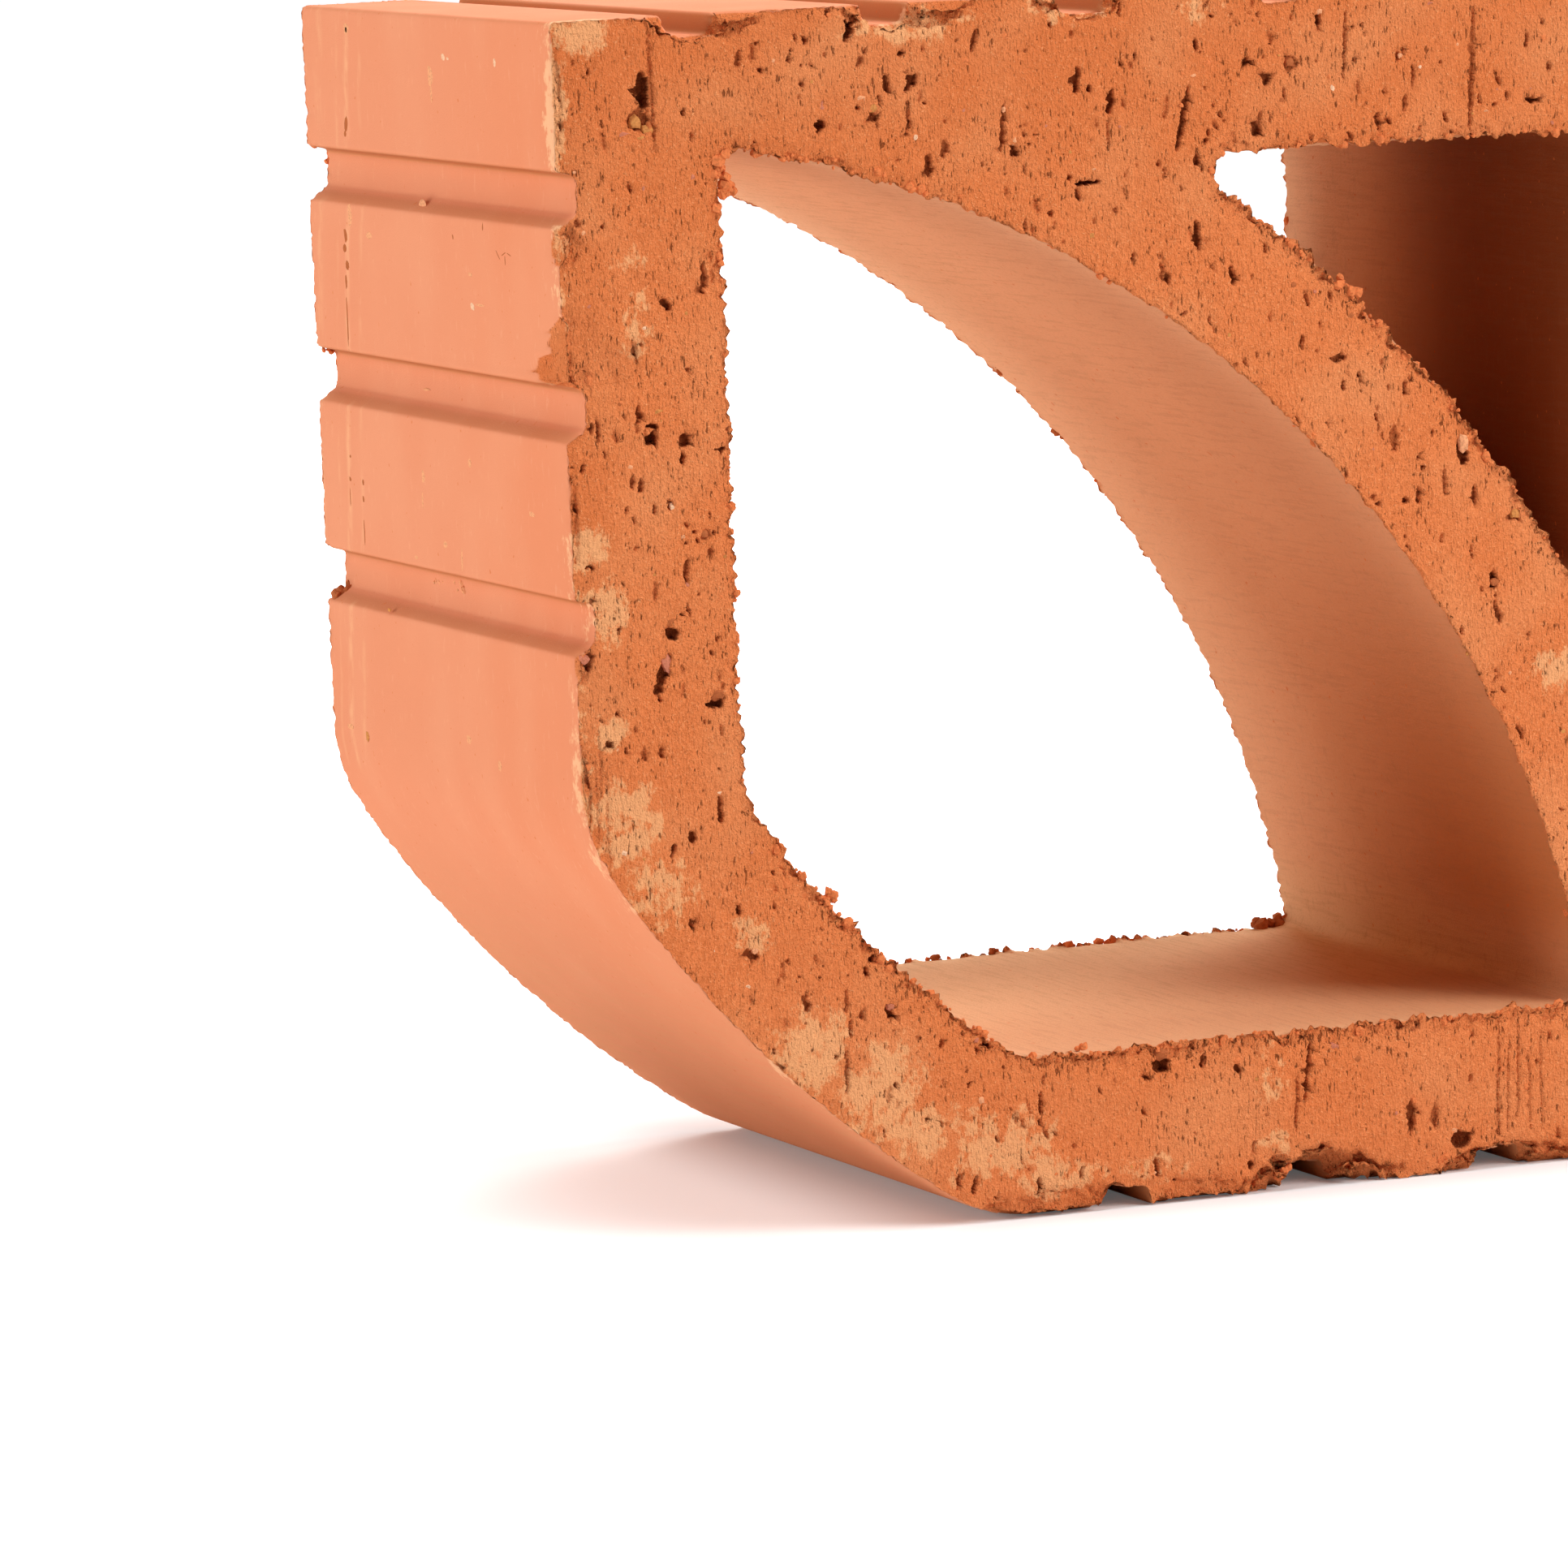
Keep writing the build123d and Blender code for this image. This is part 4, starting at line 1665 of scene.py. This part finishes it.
    def _seam_cover(self, clay: ClayPattern) -> Wire:
        """Lay out the pale smears on the left side, where the column lay on the drying rack.

        Args:
            clay: The patterns.

        Returns:
            How far they cover the skin.
        """
        graph, y, z = clay.graph, clay.y, clay.z
        left = clay.x.fade(-99.5, -98.5, 1.0, 0.0)
        waver = (graph.noise(graph.combine(0.0, 0.0, z), 0.05, 1.0, 0.6) - 0.5) * 5.0
        broken = graph.noise(graph.combine(y * 0.3, 0.0, z * 0.12), 1.0, 3.0, 0.65).fade(0.42, 0.62)
        across = y + waver + (z - 195.0) * 0.11
        cover = 0.0
        for middle, half, share in self.seams:
            cover = (across - middle).math("ABSOLUTE").fade(0.0, half, share, 0.0) + cover
        return cover * broken * left

    def _lining(self, clay: ClayPattern) -> Wire:
        """Mix the colour inside the openings, with the die's fine lines along the depth and with painted
        light and shade.

        Args:
            clay: The patterns.

        Returns:
            The colour.
        """
        graph, x, y = clay.graph, clay.x, clay.y
        drawn, dust, fine = clay.drawn, clay.dust, clay.fine
        lined = drawn.fade(0.3, 0.75) * 0.35 + dust.fade(0.4, 0.75) * 0.35 + fine.fade(0.5, 0.75) * 0.3
        low_down = clay.z.fade(27.0, 45.0, 1.0, 0.0)
        # Painted light and shade: light strongest on the left and on the floor towards the back, shade
        # towards the front, on the right towards the front, and darkest at the far right.
        painted_light_share = x.fade(-40.0, 60.0, 0.88, 0.25) * (1.0 - low_down * 0.5)
        front = y.fade(-50.0, 10.0, 0.34, 0.0) * (1.0 - low_down * 0.4)
        deep = x.fade(42.0, 80.0) * y.fade(-25.0, 36.0, 0.82, 0.0) * (1.0 - low_down * 0.7)
        far = x.fade(80.0, 82.5) * y.fade(-20.0, 35.0, 0.6, 0.0)
        sooty = drawn.fade(0.5, 0.64) * 0.13 + fine.fade(0.54, 0.7) * 0.18 + dust.fade(0.55, 0.7) * 0.14
        lining = graph.mix(lined, self.inside_colour, self.inside_pale)
        for share, colour in (
            (painted_light_share, self.inside_painted_light),
            (low_down * y.fade(-55.0, 30.0, 0.3, 0.8), self.inside_painted_floor_light),
            (front, self.inside_painted_shade),
            (deep, self.inside_painted_shade),
            (far, self.inside_painted_shade_far),
            (sooty, self.inside_sooty),
        ):
            lining = graph.mix(share, lining, colour)
        return lining

    def _marked(self, clay: ClayPattern, tone: Wire) -> Wire:
        """Lay the pale patches over the clay, and the painted shade in the torn fibres and the pits.

        Args:
            clay: The patterns.
            tone: Colour of the clay.

        Returns:
            The colour with its marks.
        """
        graph, x, y, z = clay.graph, clay.x, clay.y, clay.z
        bloom = clay.stored("bloom")
        brush = graph.noise(graph.combine(x * 0.9, y * 0.9, z * 0.5), 1.0, 3.0, 0.72)
        flake = graph.noise(clay.place, 0.22, 4.0, 0.66)
        broken = bloom * 0.95 + (flake - 0.5) * 3.0 + (brush - 0.5) * 2.0 - 0.12
        crust = graph.mix(clay.cut, self.cream, self.bloom_colour)
        tone = graph.mix(broken.fade(0.3, 0.8) * bloom.fade(0.0, 0.3) * 0.78, tone, crust)
        # Painted shade in the torn fibres and in the pits, darker the deeper a pit is; both are also sunk in
        # the relief.
        tone = graph.mix(clay.torn * clay.cut * 0.75, tone, self.cut_painted_shade)
        return graph.mix(clay.stored("hollow").fade(0.25, 1.2) * 0.9, tone, self.cut_painted_shade)

    @staticmethod
    def _height(clay: ClayPattern) -> Wire:
        """Add up the fine relief, in millimetres.

        Args:
            clay: The patterns.

        Returns:
            The height.
        """
        grain, fibre, fine = 0.7, 0.5, 0.25
        level = 0.5 * (grain + fibre + fine)
        rough = clay.grain * grain + clay.fibre * fibre + clay.fine * fine - clay.torn * 0.6 - level
        skin = clay.dust * 0.04 + clay.fine * 0.05
        return rough * clay.cut + skin + (clay.drawn * 0.12 + clay.fine * 0.05) * clay.inside


@dataclass(frozen=True)
class Grog:
    """The stones and crumbs in the clay."""

    colours: Tuple[Tuple[Grit, Colour], ...] = (
        (Grit.CLAY, (0.76, 0.212, 0.070)),
        (Grit.BROWN, (0.46, 0.130, 0.045)),
        (Grit.PURPLE, (0.60, 0.200, 0.115)),
        (Grit.OCHRE, (0.64, 0.260, 0.075)),
        (Grit.PALE, (0.84, 0.375, 0.185)),
        (Grit.WHITE, (0.88, 0.530, 0.330)),
    )
    dark: Colour = (0.30, 0.080, 0.030)
    ramp_half: float = 0.085
    roughness: float = 0.95
    gloss: float = 0.03

    def material(self) -> bpy.types.Material:
        """Build the finish.

        Returns:
            The material.
        """
        made = bpy.data.materials.new("grog")
        made.use_nodes = True
        graph = Graph(made.node_tree)
        place = graph.vector("SCALE", graph.add("ShaderNodeTexCoord", None, None, "Object"), 1.0 / MM)
        tint = graph.add("ShaderNodeAttribute", {"attribute_name": "tint"}, None, "Fac")
        stops = [(max(0.0, kind.value - self.ramp_half), (*colour, 1.0)) for kind, colour in self.colours]
        tone = graph.add("ShaderNodeValToRGB", {"stops": stops, "ramp": "CONSTANT"}, {"Fac": tint})
        grain = graph.noise(place, 2.2, 3.0, 0.7)
        tone = graph.mix(grain.fade(0.45, 0.7) * 0.55, tone, self.dark)
        shader = graph.add("ShaderNodeBsdfPrincipled", None, {
            "Base Color": tone, "Roughness": self.roughness, "Specular IOR Level": self.gloss,
        })
        graph.add("ShaderNodeOutputMaterial", None, {"Surface": shader})
        return made


@dataclass(frozen=True)
class Lamp:
    """A square soft lamp that is turned to the block, in metres and watts."""

    name: str
    place: Place
    size: float
    power: float


LAMPS = (
    Lamp("left", (-1.8, 0.12, 0.35), 0.95, 21.0),
    Lamp("front_right", (1.2, -1.7, 1.3), 1.2, 39.0),
    Lamp("back_right", (1.0, 1.7, 1.1), 1.4, 45.0),
    Lamp("right", (1.7, 0.1, 1.2), 1.2, 5.0),
    Lamp("top", (-0.2, -0.3, 2.0), 1.4, 26.5),
)


@dataclass
class Studio:
    """Pale floor, soft light and the camera.

    The foot is the part of the block that stands on the floor. The floor glows least at the foot and is
    white in the open, past open_end from it.
    """

    frame_px: float = 1932.0
    focal_px: float = 12008.65
    sensor_mm: float = 36.0
    clip_end: float = 100.0
    heading: float = math.radians(21.914)
    dip: float = math.radians(6.904)
    roll: float = math.radians(-2.300)
    camera_place: Place = (-0.648452, -1.509872, 0.264522)
    lit_place: Place = (0.0, 0.0, 0.1)
    floor_reach: float = 12.0
    floor_grey: float = 0.88
    floor_glow: float = 0.42
    foot_glow: float = 0.08
    foot_fade: float = 0.03
    foot_middle: Place = (0.035, 0.0, 0.0)
    foot_half: Place = (0.065, 0.06, 0.0)
    open_start: float = 0.1
    open_end: float = 0.5

    def build(self) -> None:
        """Set up the floor, the light and the camera."""
        bpy.context.scene.view_settings.view_transform = "Standard"
        self._floor()
        self._room()
        for lamp in LAMPS:
            self._light(lamp)
        self._camera()

    def _camera(self) -> None:
        """Set up the camera at the photograph's angle."""
        right = Vector((math.cos(self.heading), -math.sin(self.heading), 0.0))
        ahead = Vector((
            math.sin(self.heading) * math.cos(self.dip),
            math.cos(self.heading) * math.cos(self.dip),
            -math.sin(self.dip),
        ))
        up = right.cross(ahead)
        turned_right = right * math.cos(self.roll) + up * math.sin(self.roll)
        turned_up = up * math.cos(self.roll) - right * math.sin(self.roll)
        axes = Matrix((turned_right, turned_up, -ahead)).transposed()
        data = bpy.data.cameras.new("camera")
        data.sensor_width = self.sensor_mm
        data.lens = self.sensor_mm * self.focal_px / self.frame_px
        data.clip_end = self.clip_end
        camera = bpy.data.objects.new("camera", data)
        camera.matrix_world = Matrix.Translation(self.camera_place) @ axes.to_4x4()
        bpy.context.scene.collection.objects.link(camera)
        bpy.context.scene.camera = camera

    @staticmethod
    def _seen(graph: Graph) -> Wire:
        """Tell what the camera sees from what lights other things.

        Args:
            graph: A material's or the world's graph.

        Returns:
            1 for rays from the camera and for glossy rays, else 0.
        """
        path = graph.add("ShaderNodeLightPath").socket.node
        glossy = Wire(graph, path.outputs["Is Glossy Ray"])
        return Wire(graph, path.outputs["Is Camera Ray"]).math("MAXIMUM", glossy)

    def _floor(self) -> None:
        """Lay a wide pale floor that keeps the block's shadow."""
        reach, grey = self.floor_reach, self.floor_grey
        mesh = bpy.data.meshes.new("floor")
        corners = [(-reach, -reach, 0.0), (reach, -reach, 0.0), (reach, reach, 0.0), (-reach, reach, 0.0)]
        mesh.from_pydata(corners, [], [(0, 1, 2, 3)])
        floor = bpy.data.objects.new("floor", mesh)
        bpy.context.scene.collection.objects.link(floor)
        made = bpy.data.materials.new("pale_floor")
        made.use_nodes = True
        graph = Graph(made.node_tree)
        shader = graph.add("ShaderNodeBsdfDiffuse", None, {"Color": (grey, grey, grey, 1.0)})
        away = self._foot_distance(graph)
        strength = away.fade(0.0, self.foot_fade, self.foot_glow, self.floor_glow)
        strength = strength + away.fade(self.open_start, self.open_end, 0.0, 1.0 - self.floor_glow)
        strength = self._seen(graph) * strength
        glow = graph.add("ShaderNodeEmission", None, {"Color": WHITE, "Strength": strength})
        both = graph.add("ShaderNodeAddShader", None, {0: shader, 1: glow})
        graph.add("ShaderNodeOutputMaterial", None, {"Surface": both})
        mesh.materials.append(made)

    def _foot_distance(self, graph: Graph) -> Wire:
        """Measure the floor from the block's foot.

        Args:
            graph: The floor's graph.

        Returns:
            The distance.
        """
        place = graph.add("ShaderNodeTexCoord", None, None, "Object")
        place = graph.vector("ABSOLUTE", graph.vector("SUBTRACT", place, self.foot_middle))
        beyond = graph.vector("MAXIMUM", graph.vector("SUBTRACT", place, self.foot_half), (0.0, 0.0, 0.0))
        return graph.add("ShaderNodeVectorMath", {"operation": "LENGTH"}, {0: beyond}, "Value")

    def _room(self) -> None:
        """Surround the block with white that is seen but gives no light."""
        world = bpy.data.worlds.new("room")
        bpy.context.scene.world = world
        world.use_nodes = True
        graph = Graph(world.node_tree)
        light = graph.add("ShaderNodeBackground", None, {"Color": WHITE, "Strength": self._seen(graph)})
        graph.add("ShaderNodeOutputWorld", None, {"Surface": light})

    def _light(self, lamp: Lamp) -> None:
        """Hang one lamp.

        Args:
            lamp: The lamp.
        """
        data = bpy.data.lights.new(lamp.name, "AREA")
        data.shape, data.size, data.energy = "SQUARE", lamp.size, lamp.power
        hung = bpy.data.objects.new(lamp.name, data)
        hung.visible_camera = False
        turn = (Vector(self.lit_place) - Vector(lamp.place)).to_track_quat("-Z", "Y")
        hung.matrix_world = Matrix.Translation(lamp.place) @ turn.to_matrix().to_4x4()
        bpy.context.scene.collection.objects.link(hung)


def main() -> None:
    """Build the block and the studio, and report each piece."""
    section = Section().read()
    front = FaceMarks(FRONT_PITS, FRONT_BLOOMS, FRONT_CHIPS).scatter(section, FRONT_PORES, FRONT_SEED)
    back = FaceMarks().scatter(section, BACK_PORES, BACK_SEED)
    body = BlockBody(section, front, back).build()
    WireCutRelief().apply(body, FiredClay().material())
    grog = GrogScatter(section).build(Grog().material())
    for piece in (body, grog):
        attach(piece, "root")
        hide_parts(section.node)
        piece.data.calc_loop_triangles()
        LOG.info("%s: %d triangles", piece.name, len(piece.data.loop_triangles))
    Studio().build()


if __name__ == "__main__":
    logging.basicConfig(level=logging.INFO)
    main()
